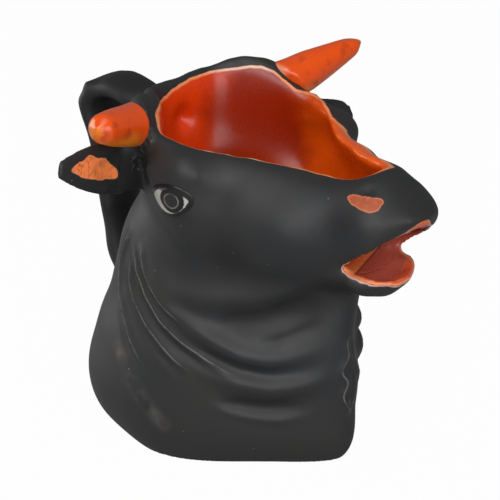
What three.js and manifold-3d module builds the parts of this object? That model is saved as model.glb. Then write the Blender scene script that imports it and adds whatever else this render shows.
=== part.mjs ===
// Bull-head creamer: a slip-cast earthenware jug shaped as a bull's head standing on its neck.
// The jug fills through the open crown of the head and pours through the mouth.
// It is built from the pieces that a potter casts and joins with slip before firing, and from the
// coloured glazes that are laid into recesses and over the inside of the finished clay.
import * as THREE from "three";
import { mergeVertices } from "three/addons/utils/BufferGeometryUtils.js";
import Module from "manifold-3d";

const wasm = await Module();
wasm.setup();

// Driving dimensions in millimetres: X runs forward to the muzzle, Y to the bull's left, Z up
// Clay, glaze and clearances
const WALL = 4;
const FLOOR = 5;
const GLAZE = 0.7;
const GAP = 0.3;
const RIM_WIDTH = 4.8;

// Neck, measured from its own upright axis: foot, flared skirt, waist, nape, and its end inside the head
const NECK_AXIS = -6;
const FOOT_BACK = 39.5;
const FOOT_FRONT = 41.5;
const FOOT_HALF = 31.5;
const FOOT_ROUND = 4;
const FOOT_SWELL = 3.5;
const FOOT_RING = 7;
const FOOT_RECESS = 1.2;
const SKIRT_Z = 14;
const SKIRT_BACK = 45.5;
const SKIRT_FRONT = 47.5;
const SKIRT_HALF = 38;
const WAIST_DROP = 6;
const WAIST_BACK = 34.5;
const WAIST_FRONT = 49.5;
const WAIST_HALF = 32;
const NAPE_RISE = 21;
const NAPE_BACK = 23.5;
const NAPE_FRONT = 45;
const NAPE_HALF = 27.5;
const NECK_RISE = 34;
const NECK_TOP_BACK = 12;
const NECK_TOP_FRONT = 34;
const NECK_TOP_HALF = 17;
const NECK_FRONT_POWER = 1.8;
const NECK_BACK_POWER = 2.2;
const DEWLAP = 3;
const DEWLAP_SPREAD = 0.2;
const FOLD_DEPTH = 0.6;
const FOLD_PITCH = 8.4;
const FOLD_GATHER = 2.5;
const FOLD_FADE_POWER = 4;

// Head sections: each stands ahead of the one before it by its step. Heights are over the jaw's underside
// at JAW_Z: the cut rim, the closed roof over that rim, the widest line and the underside
const JAW_Z = 51;
const POLL_X = -12;
const POLL_BACK = 15.5;
const POLL_RIM = 55;
const POLL_ROOF = 22;
const POLL_WIDE = 36;
const POLL_UNDER = 7;
const POLL_HALF = 29;
const BROW_STEP = 18;
const BROW_RIM = 46;
const BROW_ROOF = 14;
const BROW_WIDE = 35;
const BROW_HALF = 36.5;
const CHEEK_STEP = 15;
const CHEEK_RIM = 42.2;
const CHEEK_ROOF = 9.3;
const CHEEK_WIDE = 26;
const CHEEK_UNDER = -1;
const CHEEK_HALF = 31.5;
const BRIDGE_STEP = 15;
const BRIDGE_RIM = 41;
const BRIDGE_ROOF = 6;
const BRIDGE_WIDE = 24;
const BRIDGE_UNDER = 1.5;
const BRIDGE_HALF = 25.5;
const NOSE_STEP = 14;
const NOSE_RIM = 39.6;
const NOSE_ROOF = 5;
const NOSE_WIDE = 27.5;
const NOSE_UNDER = 10;
const NOSE_HALF = 18;
const MUZZLE_STEP = 12.5;
const MUZZLE_CROWN = 37.5;
const MUZZLE_WIDE = 29.5;
const MUZZLE_UNDER = 19.5;
const MUZZLE_HALF = 15.5;
const LIP_STEP = 5;
const LIP_CROWN = 32.9;
const LIP_WIDE = 30.5;
const LIP_UNDER = 27;
const LIP_HALF = 12;
const TIP_STEP = 2;
const BACK_ROUND = 24;
const TIP_ROUND = 9;

// Squareness of the head's sections over and under their widest line, where 2 is an ellipse
const POLL_SQUARE_OVER = 2.4;
const NOSE_SQUARE_OVER = 1.5;
const TIP_SQUARE_OVER = 1.8;
const POLL_SQUARE_UNDER = 2;
const NOSE_SQUARE_UNDER = 2.2;
const TIP_SQUARE_UNDER = 2.6;

// The filling opening ends behind the nostrils, where its rim turns up to the crown of the nose
const RIM_SETBACK = 5;
const RIM_END = 41.4;
const RIM_BACK_DROP = 2;

// Mouth: the sill is where the jug spills over into the scooped lower lip
const SILL_BACK = 7;
const SILL_RISE = 15;
const SILL_HEADROOM = 7;
const SPOUT_HALF = 11;
const SCOOP_AHEAD = 6;
const SCOOP_RISE = 9;
const SCOOP_HEADROOM = 15.5;
const SCOOP_END_SHARE = 0.3;
const PALATE_SHARE = 0.4;
const MOUTH_SQUARE = 2.3;
const LIP_WALL = 3.4;

// The upper lip's edge runs straight from the mouth's corners to the muzzle's tip
const CORNER_RISE = 14.5;
const LIP_EDGE_RISE = 27;

// Lower jaw: its root lies in the throat, and its rim falls from the mouth's corners to the lip
const JAW_ROOT = 8;
const JAW_ROOT_UNDER = 3.5;
const JAW_ROOT_HALF = 12.5;
const JAW_CORNER_RISE = 16;
const JAW_LIP_AHEAD = 8;
const JAW_LIP_RISE = 12.2;
const JAW_LIP_UNDER = 5.5;
const JAW_HALF = 14;
const JAW_LENGTH = 12.6;
const JAW_TIP_RISE = 11.5;
const JAW_TIP_UNDER = 6.5;
const JAW_TIP_HALF = 11.5;
const JAW_TIP_ROUND = 12;
const JAW_RIM_CROWN = 1;
const JAW_SQUARE = 2.1;

// Horns: where they leave the head under the rim, how long they are and how they turn
const HORN_SETBACK = 15;
const HORN_DROP_LEFT = 5;
const HORN_DROP_RIGHT = 6.5;
const HORN_LENGTH = 28.6;
const HORN_RADIUS = 7;
const HORN_TIP_LEFT = 1.9;
const HORN_TIP_RIGHT = 3;
const HORN_TAPER = 1.2;
const HORN_TIP_ROUND = 0.1;
const HORN_TIP_SHARE = 0.15;
const HORN_LIFT_LEFT = 0.35;
const HORN_LIFT_RIGHT = 0.16;
const HORN_SWEEP = 0.3;
const HORN_BEND = 0.45;
const HORN_BEND_SHARE = 0.25;
const HORN_BOSS_LEFT = 7.9;
const HORN_BOSS_RIGHT = 9.2;
const HORN_BOSS_DEEP_LEFT = 2.4;
const HORN_BOSS_DEEP_RIGHT = 7.2;

// Ears: leaves that stand out of the head behind the brow, hollowed in front for a patch of glaze
const EAR_SETBACK = 20;
const EAR_RISE = 33;
const EAR_LENGTH = 37;
const EAR_HALF = 7.9;
const EAR_THICK = 3;
const EAR_EDGE = 0.4;
const EAR_ROOT_TURN = 0.18;
const EAR_TIP_TURN = 0.94;
const EAR_FULLNESS = 0.8;
const EAR_TIP_THIN = 0.5;
const EAR_LIFT_LEFT = 0.07;
const EAR_LIFT_RIGHT = 0.25;
const EAR_SWEEP = 0.2;
const EAR_BEND = 0.5;
const EAR_BEND_SHARE = 0.55;
const EAR_ROOT_DEPTH = 7;
const EAR_SCOOP_AT = 0.55;
const EAR_SCOOP_LONG = 8.5;
const EAR_SCOOP_HIGH = 4.4;
const EAR_SCOOP_DEEP = 2.25;

// Brow ridges over the eyes, and eyes and nostrils let into the skin as ovals
const BROW_RIDGE_RISE = 38.5;
const BROW_RIDGE_LONG = 11;
const BROW_RIDGE_HIGH = 5;
const BROW_RIDGE_DEEP = 2.6;
const EYE_AHEAD = 2;
const EYE_RISE = 30;
const EYE_LONG = 6.4;
const EYE_HIGH = 4.6;
const EYE_DEEP = 2.6;
const NOSTRIL_BEHIND = 3;
const NOSTRIL_RISE = 35.4;
const NOSTRIL_LONG = 6.2;
const NOSTRIL_HIGH = 3.4;
const NOSTRIL_DEEP = 2.4;
const GLAZE_SINK = 0.8;

// Strap handle: from the nape up to its top corner, down to its heel and into the back of the neck
const HANDLE_REACH = 34;
const HANDLE_RISE = 51.5;
const HANDLE_NAPE_RISE = 39.5;
const HANDLE_NAPE_ROOT = 9;
const HANDLE_HEEL_RISE = 10;
const HANDLE_HEEL_STANDOFF = 0.5;
const HANDLE_FOOT_Z = 31;
const HANDLE_FOOT_ROOT = 9;
const HANDLE_CORNER = 15;
const HANDLE_WIDTH = 14;
const HANDLE_THICK = 6.6;
const HANDLE_EDGE = 2;

// Facets of the skins, and the margins that keep cutters clear of what they cut
const NECK_SIDES = 30;
const HEAD_SIDES = 28;
const HEAD_RINGS = 23;
const INNER_SIDES = 18;
const INNER_RINGS = 13;
const NECK_INNER_RINGS = 7;
const RIM_STEPS = 18;
const MOUTH_RINGS = 14;
const JAW_RINGS = 9;
const LIMB_RINGS = 10;
const LIMB_SIDES = 14;
const OVAL_SIDES = 16;
const OVAL_RINGS = 9;
const HANDLE_STEPS = 20;
const EDGE_STEPS = 2;
const CUT_MARGIN = 32;
const PRISM_MARGIN = 8;
const PLAN_MARGIN = 1.2;
const END_SLIVER = 0.02;
const LEAST_HALF = 0.5;

// Finishes
const BLACK_GLAZE = new THREE.MeshStandardMaterial({ color: 0x17171b, roughness: 0.38, metalness: 0 });
const ORANGE_GLAZE = new THREE.MeshStandardMaterial({ color: 0xd4501c, roughness: 0.25, metalness: 0 });
const HORN_GLAZE = new THREE.MeshStandardMaterial({ color: 0xcf6e2c, roughness: 0.3, metalness: 0 });
const EYE_GLAZE = new THREE.MeshStandardMaterial({ color: 0xe6e3dc, roughness: 0.22, metalness: 0 });

// Solid modelling helpers
function solidOf(geometry) {
  const bare = geometry.clone();
  bare.deleteAttribute("normal");
  bare.deleteAttribute("uv");
  const merged = mergeVertices(bare, 1e-4);
  const mesh = new wasm.Mesh({
    numProp: 3,
    vertProperties: Float32Array.from(merged.attributes.position.array),
    triVerts: Uint32Array.from(merged.index.array),
  });
  return new wasm.Manifold(mesh);
}

function geometryOf(solid) {
  const mesh = solid.getMesh();
  const geometry = new THREE.BufferGeometry();
  geometry.setAttribute("position", new THREE.BufferAttribute(mesh.vertProperties, 3));
  geometry.setIndex(new THREE.BufferAttribute(mesh.triVerts, 1));
  geometry.computeVertexNormals();
  return geometry;
}

// Closed skin through rings of points; each end is closed with a fan about the ring's middle
function loft(rings) {
  const sides = rings[0].length;
  const points = rings.flat();
  const index = [];
  for (let i = 0; i + 1 < rings.length; i += 1) {
    for (let j = 0; j < sides; j += 1) {
      const a = i * sides + j;
      const b = i * sides + (j + 1) % sides;
      index.push(a, b, b + sides, a, b + sides, a + sides);
    }
  }
  const last = (rings.length - 1) * sides;
  const middleOf = (ring) => ring.reduce((sum, p) => sum.add(p), new THREE.Vector3()).divideScalar(sides);
  points.push(middleOf(rings[0]), middleOf(rings[rings.length - 1]));
  for (let j = 0; j < sides; j += 1) {
    const next = (j + 1) % sides;
    index.push(points.length - 2, next, j);
    index.push(points.length - 1, last + j, last + next);
  }
  const geometry = new THREE.BufferGeometry().setFromPoints(points);
  geometry.setIndex(index);
  return solidOf(geometry);
}

// Smooth table: each row starts with its position, and the values between rows follow a cubic
function smoothTable(rows) {
  const width = rows[0].length - 1;
  const positions = rows.map((row) => row[0]);
  const values = rows.flatMap((row) => row.slice(1));
  const curve = new THREE.CubicInterpolant(positions, values, width);
  return (position) => Array.from(curve.evaluate(position));
}

const spread = (count, from, to) =>
  Array.from({ length: count + 1 }, (_, i) => THREE.MathUtils.lerp(from, to, i / count));

// Even turn spacing, so that the samples crowd towards both ends of a rounded form
const spreadToEnds = (count, from, to) =>
  spread(count, 0, Math.PI).map((turn) => THREE.MathUtils.lerp(from, to, (1 - Math.cos(turn)) / 2));

const turnsOf = (sides) => spread(sides, 0, 2 * Math.PI).slice(0, sides);

const superRadius = (c, s, power) => (Math.abs(c) ** power + Math.abs(s) ** power) ** (-1 / power);

// Share of the full size at a distance from a rounded end
const roundEnd = (distance, radius) =>
  (distance >= radius ? 1 : Math.sqrt(Math.max(0, 1 - (1 - distance / radius) ** 2)));

// Neck
const neckTop = JAW_Z + NECK_RISE;
const neckAt = smoothTable([
  [0, FOOT_BACK, FOOT_FRONT, FOOT_HALF],
  [FOOT_ROUND, FOOT_BACK + FOOT_SWELL, FOOT_FRONT + FOOT_SWELL, FOOT_HALF + FOOT_SWELL],
  [SKIRT_Z, SKIRT_BACK, SKIRT_FRONT, SKIRT_HALF],
  [JAW_Z - WAIST_DROP, WAIST_BACK, WAIST_FRONT, WAIST_HALF],
  [JAW_Z + NAPE_RISE, NAPE_BACK, NAPE_FRONT, NAPE_HALF],
  [neckTop, NECK_TOP_BACK, NECK_TOP_FRONT, NECK_TOP_HALF],
]);

// Skin folds hang like collars: the levels that they follow gather at the nape and spread to the throat
function levelHeight(level, angle) {
  const share = Math.max(0, (level - SKIRT_Z) / (neckTop - SKIRT_Z));
  const gather = THREE.MathUtils.lerp(FOLD_GATHER, 1, (1 + Math.cos(angle)) / 2);
  return level < SKIRT_Z ? level : SKIRT_Z + (neckTop - SKIRT_Z) * (1 - (1 - share) ** gather);
}

function foldOf(level, angle) {
  const fadeDown = THREE.MathUtils.smoothstep(level, SKIRT_Z, SKIRT_Z + FOLD_PITCH);
  const fadeFront = 1 - ((1 + Math.cos(angle)) / 2) ** FOLD_FADE_POWER;
  return FOLD_DEPTH * fadeDown * fadeFront * Math.sin((2 * Math.PI * (level - SKIRT_Z)) / FOLD_PITCH);
}

function neckPoint(level, angle, inset, carved) {
  const z = carved ? levelHeight(level, angle) : level;
  const [back, front, half] = neckAt(z);
  const c = Math.cos(angle);
  const s = Math.sin(angle);
  const reach = c > 0 ? front : back;
  const radius = superRadius(c, s, c > 0 ? NECK_FRONT_POWER : NECK_BACK_POWER);
  const bend = angle > Math.PI ? angle - 2 * Math.PI : angle;
  const ridge = carved ? DEWLAP * Math.exp(-((bend / DEWLAP_SPREAD) ** 2)) : 0;
  const fold = carved ? foldOf(level, angle) : 0;
  return new THREE.Vector3(
    NECK_AXIS + c * radius * (reach - inset + fold) + ridge,
    s * radius * (half - inset + fold),
    z,
  );
}

// Levels of the carved skin stand on the crests and hollows of the folds
function carvedLevels() {
  const count = Math.floor((2 * (neckTop - SKIRT_Z)) / FOLD_PITCH);
  const folds = spread(count - 1, 0, count - 1).map((i) => SKIRT_Z + (FOLD_PITCH / 2) * (i + 0.5));
  return [...spread(EDGE_STEPS, 0, FOOT_ROUND), (FOOT_ROUND + SKIRT_Z) / 2, ...folds, neckTop];
}

function neckSkin(inset, sides, carved) {
  const levels = carved ? carvedLevels() : spread(NECK_INNER_RINGS, FLOOR + inset - WALL, neckTop);
  return loft(levels.map((level) => turnsOf(sides).map((angle) => neckPoint(level, angle, inset, carved))));
}

function footRecess() {
  const rim = turnsOf(NECK_SIDES).map((angle) => {
    const point = neckPoint(0, angle, FOOT_RING, false);
    return new THREE.Vector2(point.x, point.y);
  });
  const recess = new THREE.ExtrudeGeometry(new THREE.Shape(rim), {
    depth: 2 * FOOT_RECESS,
    bevelEnabled: false,
  });
  return solidOf(recess.translate(0, 0, -FOOT_RECESS));
}

// Head
const headBack = POLL_X - POLL_BACK;
const browX = POLL_X + BROW_STEP;
const cheekX = browX + CHEEK_STEP;
const bridgeX = cheekX + BRIDGE_STEP;
const noseX = bridgeX + NOSE_STEP;
const nostrilX = noseX + MUZZLE_STEP;
const lipX = nostrilX + LIP_STEP;
const muzzleTip = lipX + TIP_STEP;
const rimEnd = nostrilX - RIM_SETBACK;
const jugFront = rimEnd + WALL;

// Rows: position, crown, widest line, underside, half width
const headAt = smoothTable([
  [headBack, POLL_RIM + POLL_ROOF, POLL_WIDE, POLL_UNDER, POLL_HALF],
  [POLL_X, POLL_RIM + POLL_ROOF, POLL_WIDE, POLL_UNDER, POLL_HALF],
  [browX, BROW_RIM + BROW_ROOF, BROW_WIDE, 0, BROW_HALF],
  [cheekX, CHEEK_RIM + CHEEK_ROOF, CHEEK_WIDE, CHEEK_UNDER, CHEEK_HALF],
  [bridgeX, BRIDGE_RIM + BRIDGE_ROOF, BRIDGE_WIDE, BRIDGE_UNDER, BRIDGE_HALF],
  [noseX, NOSE_RIM + NOSE_ROOF, NOSE_WIDE, NOSE_UNDER, NOSE_HALF],
  [nostrilX, MUZZLE_CROWN, MUZZLE_WIDE, MUZZLE_UNDER, MUZZLE_HALF],
  [lipX, LIP_CROWN, LIP_WIDE, LIP_UNDER, LIP_HALF],
  [muzzleTip, LIP_CROWN, LIP_WIDE, LIP_UNDER, LIP_HALF],
]);
const squareAt = smoothTable([
  [headBack, POLL_SQUARE_OVER, POLL_SQUARE_UNDER],
  [POLL_X, POLL_SQUARE_OVER, POLL_SQUARE_UNDER],
  [noseX, NOSE_SQUARE_OVER, NOSE_SQUARE_UNDER],
  [muzzleTip, TIP_SQUARE_OVER, TIP_SQUARE_UNDER],
]);
const rimAt = smoothTable([
  [headBack, POLL_RIM - RIM_BACK_DROP],
  [POLL_X, POLL_RIM],
  [browX, BROW_RIM],
  [cheekX, CHEEK_RIM],
  [bridgeX, BRIDGE_RIM],
  [noseX, NOSE_RIM],
  [rimEnd, RIM_END],
]);

function headSection(x, inset, front = muzzleTip) {
  const [crown, wide, under, half] = headAt(x);
  const [upPower, downPower] = squareAt(x);
  const nape = roundEnd(x - headBack - inset, BACK_ROUND);
  const tip = roundEnd(front - inset - x, TIP_ROUND);
  return {
    wide: JAW_Z + wide,
    up: (crown - wide - inset) * Math.sqrt(nape) * tip,
    down: (wide - under - inset) * nape * tip,
    half: (half - inset) * nape * tip,
    upPower,
    downPower,
  };
}

function sectionPoint(x, section, angle) {
  const c = Math.cos(angle);
  const s = Math.sin(angle);
  const radius = superRadius(c, s, s > 0 ? section.upPower : section.downPower);
  const semi = s > 0 ? section.up : section.down;
  return new THREE.Vector3(x, c * radius * section.half, section.wide + s * radius * semi);
}

function sectionSkin(positions, sectionAt, sides) {
  return loft(positions.map((x) => turnsOf(sides).map((angle) => sectionPoint(x, sectionAt(x), angle))));
}

function headSkin(inset, rings, sides, front = muzzleTip) {
  const positions = spreadToEnds(rings, headBack + inset + END_SLIVER, front - inset - END_SLIVER);
  return sectionSkin(positions, (x) => headSection(x, inset, front), sides);
}

// Half width of the head's skin at a height, and the frame of a spot on that skin
function headHalfAt(x, z) {
  const section = headSection(x, 0);
  const over = z > section.wide;
  const semi = over ? section.up : section.down;
  const power = over ? section.upPower : section.downPower;
  const share = Math.min(1, Math.abs(z - section.wide) / semi);
  return section.half * (1 - share ** power) ** (1 / power);
}

function skinSpot(x, z, side) {
  const step = GAP;
  const spot = new THREE.Vector3(x, side * headHalfAt(x, z), z);
  const forward = new THREE.Vector3(
    2 * step, side * (headHalfAt(x + step, z) - headHalfAt(x - step, z)), 0).normalize();
  const upward = new THREE.Vector3(
    0, side * (headHalfAt(x, z + step) - headHalfAt(x, z - step)), 2 * step);
  const outward = new THREE.Vector3().crossVectors(upward, forward).multiplyScalar(side).normalize();
  const across = new THREE.Vector3().crossVectors(outward, forward).normalize();
  return { spot, frame: new THREE.Matrix4().makeBasis(forward, across, outward).setPosition(spot) };
}

function ovalAt(frame, long, high, deep) {
  const oval = new THREE.SphereGeometry(1, OVAL_SIDES, OVAL_RINGS).scale(long, high, deep);
  return solidOf(oval.applyMatrix4(frame));
}

// Cutter with a side profile, wider than the head
function sideCut(profile) {
  const reach = BROW_HALF + CUT_MARGIN;
  const cut = new THREE.ExtrudeGeometry(profile, { depth: 2 * reach, bevelEnabled: false });
  return solidOf(cut.rotateX(Math.PI / 2).translate(0, reach, 0));
}

// Filling opening: everything over the rim's side profile, within the head's plan
function openingOver(drop) {
  const rim = spread(RIM_STEPS, headBack, rimEnd)
    .map((x) => new THREE.Vector2(x, JAW_Z + rimAt(x)[0] - drop));
  const high = JAW_Z + POLL_RIM + CUT_MARGIN;
  const profile = new THREE.Shape([
    new THREE.Vector2(headBack - CUT_MARGIN, rim[0].y),
    ...rim,
    new THREE.Vector2(rimEnd + PLAN_MARGIN, high),
    new THREE.Vector2(headBack - CUT_MARGIN, high),
  ]);
  return sideCut(profile).intersect(rimPrism(-PLAN_MARGIN, CUT_MARGIN));
}

// Upright prism inside the rim's outline, drawn in from it all round, to a height over the poll's rim
function rimPrism(inset, over) {
  const edge = spreadToEnds(RIM_STEPS, headBack + inset, rimEnd - inset).map((x) => {
    const inner = headHalfAt(x, JAW_Z + rimAt(x)[0]) - inset;
    return new THREE.Vector2(x, Math.max(LEAST_HALF, inner));
  });
  const mirrored = edge.map((p) => new THREE.Vector2(p.x, -p.y));
  const plan = new THREE.Shape([...mirrored, ...edge.reverse()]);
  const prism = new THREE.ExtrudeGeometry(plan, { depth: POLL_RIM - BROW_WIDE + over, bevelEnabled: false });
  return solidOf(prism.translate(0, 0, JAW_Z + BROW_WIDE));
}

// Mouth: the hollow under the muzzle, running back over the sill into the jug
const sillX = noseX - SILL_BACK;
function mouthSection(x, inset) {
  const head = headSection(x, LIP_WALL + inset);
  const open = THREE.MathUtils.smoothstep(x, sillX, noseX + SCOOP_AHEAD);
  const floor = THREE.MathUtils.lerp(SILL_RISE, SCOOP_RISE, open);
  const wide = JAW_Z + floor + THREE.MathUtils.lerp(SILL_HEADROOM, SCOOP_HEADROOM, open);
  const scale = Math.max(SCOOP_END_SHARE, roundEnd(muzzleTip - LIP_WALL - inset - x, TIP_ROUND));
  return {
    wide,
    up: Math.max(LEAST_HALF, (head.wide + head.up - wide) * THREE.MathUtils.lerp(PALATE_SHARE, 1, open)),
    down: (wide - JAW_Z - floor - inset) * scale,
    half: Math.min(head.half, THREE.MathUtils.lerp(SPOUT_HALF, MUZZLE_HALF, open) - inset),
    upPower: MOUTH_SQUARE,
    downPower: MOUTH_SQUARE,
  };
}

function mouthHollow(inset) {
  const positions = spread(MOUTH_RINGS, sillX, muzzleTip - LIP_WALL - inset - END_SLIVER);
  return sectionSkin(positions, (x) => mouthSection(x, inset), INNER_SIDES);
}

// Gape: everything under the edge of the upper lip, ahead of the mouth's corners
function gapeUnder(drop) {
  const front = muzzleTip + CUT_MARGIN;
  const slope = (LIP_EDGE_RISE - CORNER_RISE) / (lipX - noseX);
  return sideCut(new THREE.Shape([
    new THREE.Vector2(noseX + drop, JAW_Z),
    new THREE.Vector2(front, JAW_Z),
    new THREE.Vector2(front, JAW_Z + CORNER_RISE + slope * (front - noseX) - drop),
    new THREE.Vector2(noseX + drop, JAW_Z + CORNER_RISE - drop),
  ]));
}

// Lower jaw: a scoop that leaves the throat under the mouth's corners.
// Rows: position, rim, underside, half width
const jawRoot = noseX - JAW_ROOT;
const jawTip = noseX + JAW_LENGTH;
const jawAt = smoothTable([
  [jawRoot, JAW_CORNER_RISE, JAW_ROOT_UNDER, JAW_ROOT_HALF],
  [noseX + JAW_LIP_AHEAD, JAW_LIP_RISE, JAW_LIP_UNDER, JAW_HALF],
  [jawTip, JAW_TIP_RISE, JAW_TIP_UNDER, JAW_TIP_HALF],
]);

function jawSection(x) {
  const [rim, under, half] = jawAt(x);
  const scale = roundEnd(jawTip - x, JAW_TIP_ROUND);
  return {
    wide: JAW_Z + rim,
    up: JAW_RIM_CROWN * scale,
    down: (rim - under) * scale,
    half: half * scale,
    upPower: JAW_SQUARE,
    downPower: JAW_SQUARE,
  };
}

function jawSkin() {
  const shares = spread(JAW_RINGS, 0, Math.PI / 2).map((turn) => Math.sin(turn));
  const positions = shares.map((share) => THREE.MathUtils.lerp(jawRoot, jawTip - END_SLIVER, share));
  return sectionSkin(positions, jawSection, INNER_SIDES);
}

// Tapered limb along a curve, with an oval section of its own at every share of its length
function limb(curve, sizeAt) {
  const frames = curve.computeFrenetFrames(LIMB_RINGS, false);
  return loft(spread(LIMB_RINGS, 0, 1).map((share, i) => {
    const [wide, thick] = sizeAt(share);
    const flat = new THREE.Vector3(0, 0, 1).cross(frames.tangents[i]).normalize();
    const rise = new THREE.Vector3().crossVectors(frames.tangents[i], flat).normalize();
    const middle = curve.getPointAt(share);
    return turnsOf(LIMB_SIDES).map((angle) => middle.clone()
      .addScaledVector(flat, Math.cos(angle) * thick)
      .addScaledVector(rise, Math.sin(angle) * wide));
  }));
}

// Path that leaves the head sideways at a spot and bends towards its tip
function limbPath(spot, side, root, length, sweep, lift, bend, bendShare) {
  const out = (along, ahead, up) => spot.clone().add(new THREE.Vector3(ahead, side * along, up));
  return new THREE.QuadraticBezierCurve3(
    out(-root, 0, 0),
    out(length * bend, length * sweep * bendShare, length * lift * bendShare),
    out(length, length * sweep, length * lift),
  );
}

const hornSpot = ({ side, hornDrop }) => skinSpot(browX - HORN_SETBACK, JAW_Z + POLL_RIM - hornDrop, side);

function hornSolid(pose, swell) {
  const { spot } = hornSpot(pose);
  const { side, hornLift, hornTip } = pose;
  const path = limbPath(spot, side, 0, HORN_LENGTH, HORN_SWEEP, hornLift, HORN_BEND, HORN_BEND_SHARE);
  return limb(path, (share) => {
    const taper = THREE.MathUtils.lerp(HORN_RADIUS, hornTip, share ** HORN_TAPER);
    const radius = taper * Math.max(HORN_TIP_SHARE, roundEnd(1 - share, HORN_TIP_ROUND)) + swell;
    return [radius, radius];
  });
}

function earParts({ side, earLift }, clear) {
  const { spot } = skinSpot(browX - EAR_SETBACK, JAW_Z + EAR_RISE, side);
  const path = limbPath(spot, side, EAR_ROOT_DEPTH, EAR_LENGTH, EAR_SWEEP, earLift, EAR_BEND, EAR_BEND_SHARE);
  const leaf = limb(path, (share) => {
    const full = Math.sin(Math.PI * THREE.MathUtils.lerp(EAR_ROOT_TURN, EAR_TIP_TURN, share)) ** EAR_FULLNESS;
    const thick = EAR_THICK * full * THREE.MathUtils.lerp(1, EAR_TIP_THIN, share);
    return [Math.max(EAR_EDGE, EAR_HALF * full), Math.max(EAR_EDGE, thick)];
  });
  const middle = path.getPointAt(EAR_SCOOP_AT);
  const along = path.getTangentAt(EAR_SCOOP_AT);
  const front = new THREE.Vector3(1, 0, 0).addScaledVector(along, -along.x).normalize();
  const rise = new THREE.Vector3().crossVectors(front, along).normalize();
  const frame = new THREE.Matrix4().makeBasis(along, rise, front)
    .setPosition(middle.addScaledVector(front, EAR_SCOOP_DEEP));
  const scoop = ovalAt(frame, EAR_SCOOP_LONG, EAR_SCOOP_HIGH, EAR_SCOOP_DEEP);
  const fill = ovalAt(frame, EAR_SCOOP_LONG - GAP, EAR_SCOOP_HIGH - GAP, EAR_SCOOP_DEEP - GAP);
  const keep = ovalAt(frame, 2 * EAR_SCOOP_LONG, 2 * EAR_SCOOP_HIGH, EAR_SCOOP_DEEP - GAP - GLAZE);
  return { ear: leaf.subtract(clear).subtract(scoop), glaze: fill.subtract(keep).intersect(leaf) };
}

// Line through corner points, with each inner corner rounded off over a length of both its sides
function roundedLine(corners, length) {
  const line = new THREE.CurvePath();
  let from = corners[0];
  for (let i = 1; i + 1 < corners.length; i += 1) {
    const corner = corners[i];
    const near = (other) => corner.clone().addScaledVector(
      other.clone().sub(corner).normalize(), Math.min(length, corner.distanceTo(other) / 2));
    const start = near(corners[i - 1]);
    const end = near(corners[i + 1]);
    line.add(new THREE.LineCurve(from, start));
    line.add(new THREE.QuadraticBezierCurve(start, corner, end));
    from = end;
  }
  line.add(new THREE.LineCurve(from, corners[corners.length - 1]));
  return line;
}

function handleSolid(clearBody) {
  const heelZ = HANDLE_FOOT_Z + HANDLE_HEEL_RISE;
  const neckBack = (z) => NECK_AXIS - neckAt(z)[0];
  const path = roundedLine([
    new THREE.Vector2(headBack + HANDLE_NAPE_ROOT, JAW_Z + HANDLE_NAPE_RISE),
    new THREE.Vector2(headBack - HANDLE_REACH, JAW_Z + HANDLE_RISE),
    new THREE.Vector2(neckBack(heelZ) - HANDLE_HEEL_STANDOFF - HANDLE_THICK, heelZ),
    new THREE.Vector2(neckBack(HANDLE_FOOT_Z) + HANDLE_FOOT_ROOT, HANDLE_FOOT_Z),
  ], HANDLE_CORNER);
  const half = HANDLE_THICK / 2 - HANDLE_EDGE;
  const outer = [];
  const inner = [];
  for (const share of spread(HANDLE_STEPS, 0, 1)) {
    const middle = path.getPointAt(share);
    const along = path.getTangentAt(share);
    outer.push(new THREE.Vector2(middle.x - along.y * half, middle.y + along.x * half));
    inner.push(new THREE.Vector2(middle.x + along.y * half, middle.y - along.x * half));
  }
  const strap = new THREE.ExtrudeGeometry(new THREE.Shape([...outer, ...inner.reverse()]), {
    depth: HANDLE_WIDTH - 2 * HANDLE_EDGE,
    bevelSize: HANDLE_EDGE,
    bevelThickness: HANDLE_EDGE,
    bevelSegments: EDGE_STEPS,
  });
  strap.rotateX(Math.PI / 2).translate(0, HANDLE_WIDTH / 2 - HANDLE_EDGE, 0);
  return solidOf(strap).subtract(clearBody);
}

// Assembly
const SIDES = {
  left: {
    side: 1,
    hornDrop: HORN_DROP_LEFT,
    hornLift: HORN_LIFT_LEFT,
    hornTip: HORN_TIP_LEFT,
    bossWide: HORN_BOSS_LEFT,
    bossDeep: HORN_BOSS_DEEP_LEFT,
    earLift: EAR_LIFT_LEFT,
  },
  right: {
    side: -1,
    hornDrop: HORN_DROP_RIGHT,
    hornLift: HORN_LIFT_RIGHT,
    hornTip: HORN_TIP_RIGHT,
    bossWide: HORN_BOSS_RIGHT,
    bossDeep: HORN_BOSS_DEEP_RIGHT,
    earLift: EAR_LIFT_RIGHT,
  },
};
const browRidge = ({ side }, swell) => ovalAt(
  skinSpot(browX + EYE_AHEAD, JAW_Z + BROW_RIDGE_RISE, side).frame,
  BROW_RIDGE_LONG + swell, BROW_RIDGE_HIGH + swell, BROW_RIDGE_DEEP + swell);
const hornBoss = (pose, swell) => ovalAt(
  hornSpot(pose).frame, pose.bossWide + swell, pose.bossWide + swell, pose.bossDeep + swell);
const bodySkin = (swell) => Object.values(SIDES).reduce(
  (skin, pose) => skin.add(browRidge(pose, swell)).add(hornBoss(pose, swell)),
  neckSkin(-swell, NECK_SIDES, true).add(headSkin(-swell, HEAD_RINGS, HEAD_SIDES)));
const cavity = (inset) => neckSkin(WALL + inset, INNER_SIDES, false)
  .add(headSkin(WALL + inset, INNER_RINGS, INNER_SIDES, jugFront))
  .add(rimPrism(RIM_WIDTH + inset, PRISM_MARGIN));
const clearBody = bodySkin(GAP);
const mouth = mouthHollow(0);

const solids = {};
let clay = bodySkin(0)
  .subtract(cavity(0))
  .subtract(openingOver(GLAZE + GAP))
  .subtract(mouth)
  .subtract(gapeUnder(0))
  .subtract(footRecess());

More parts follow.
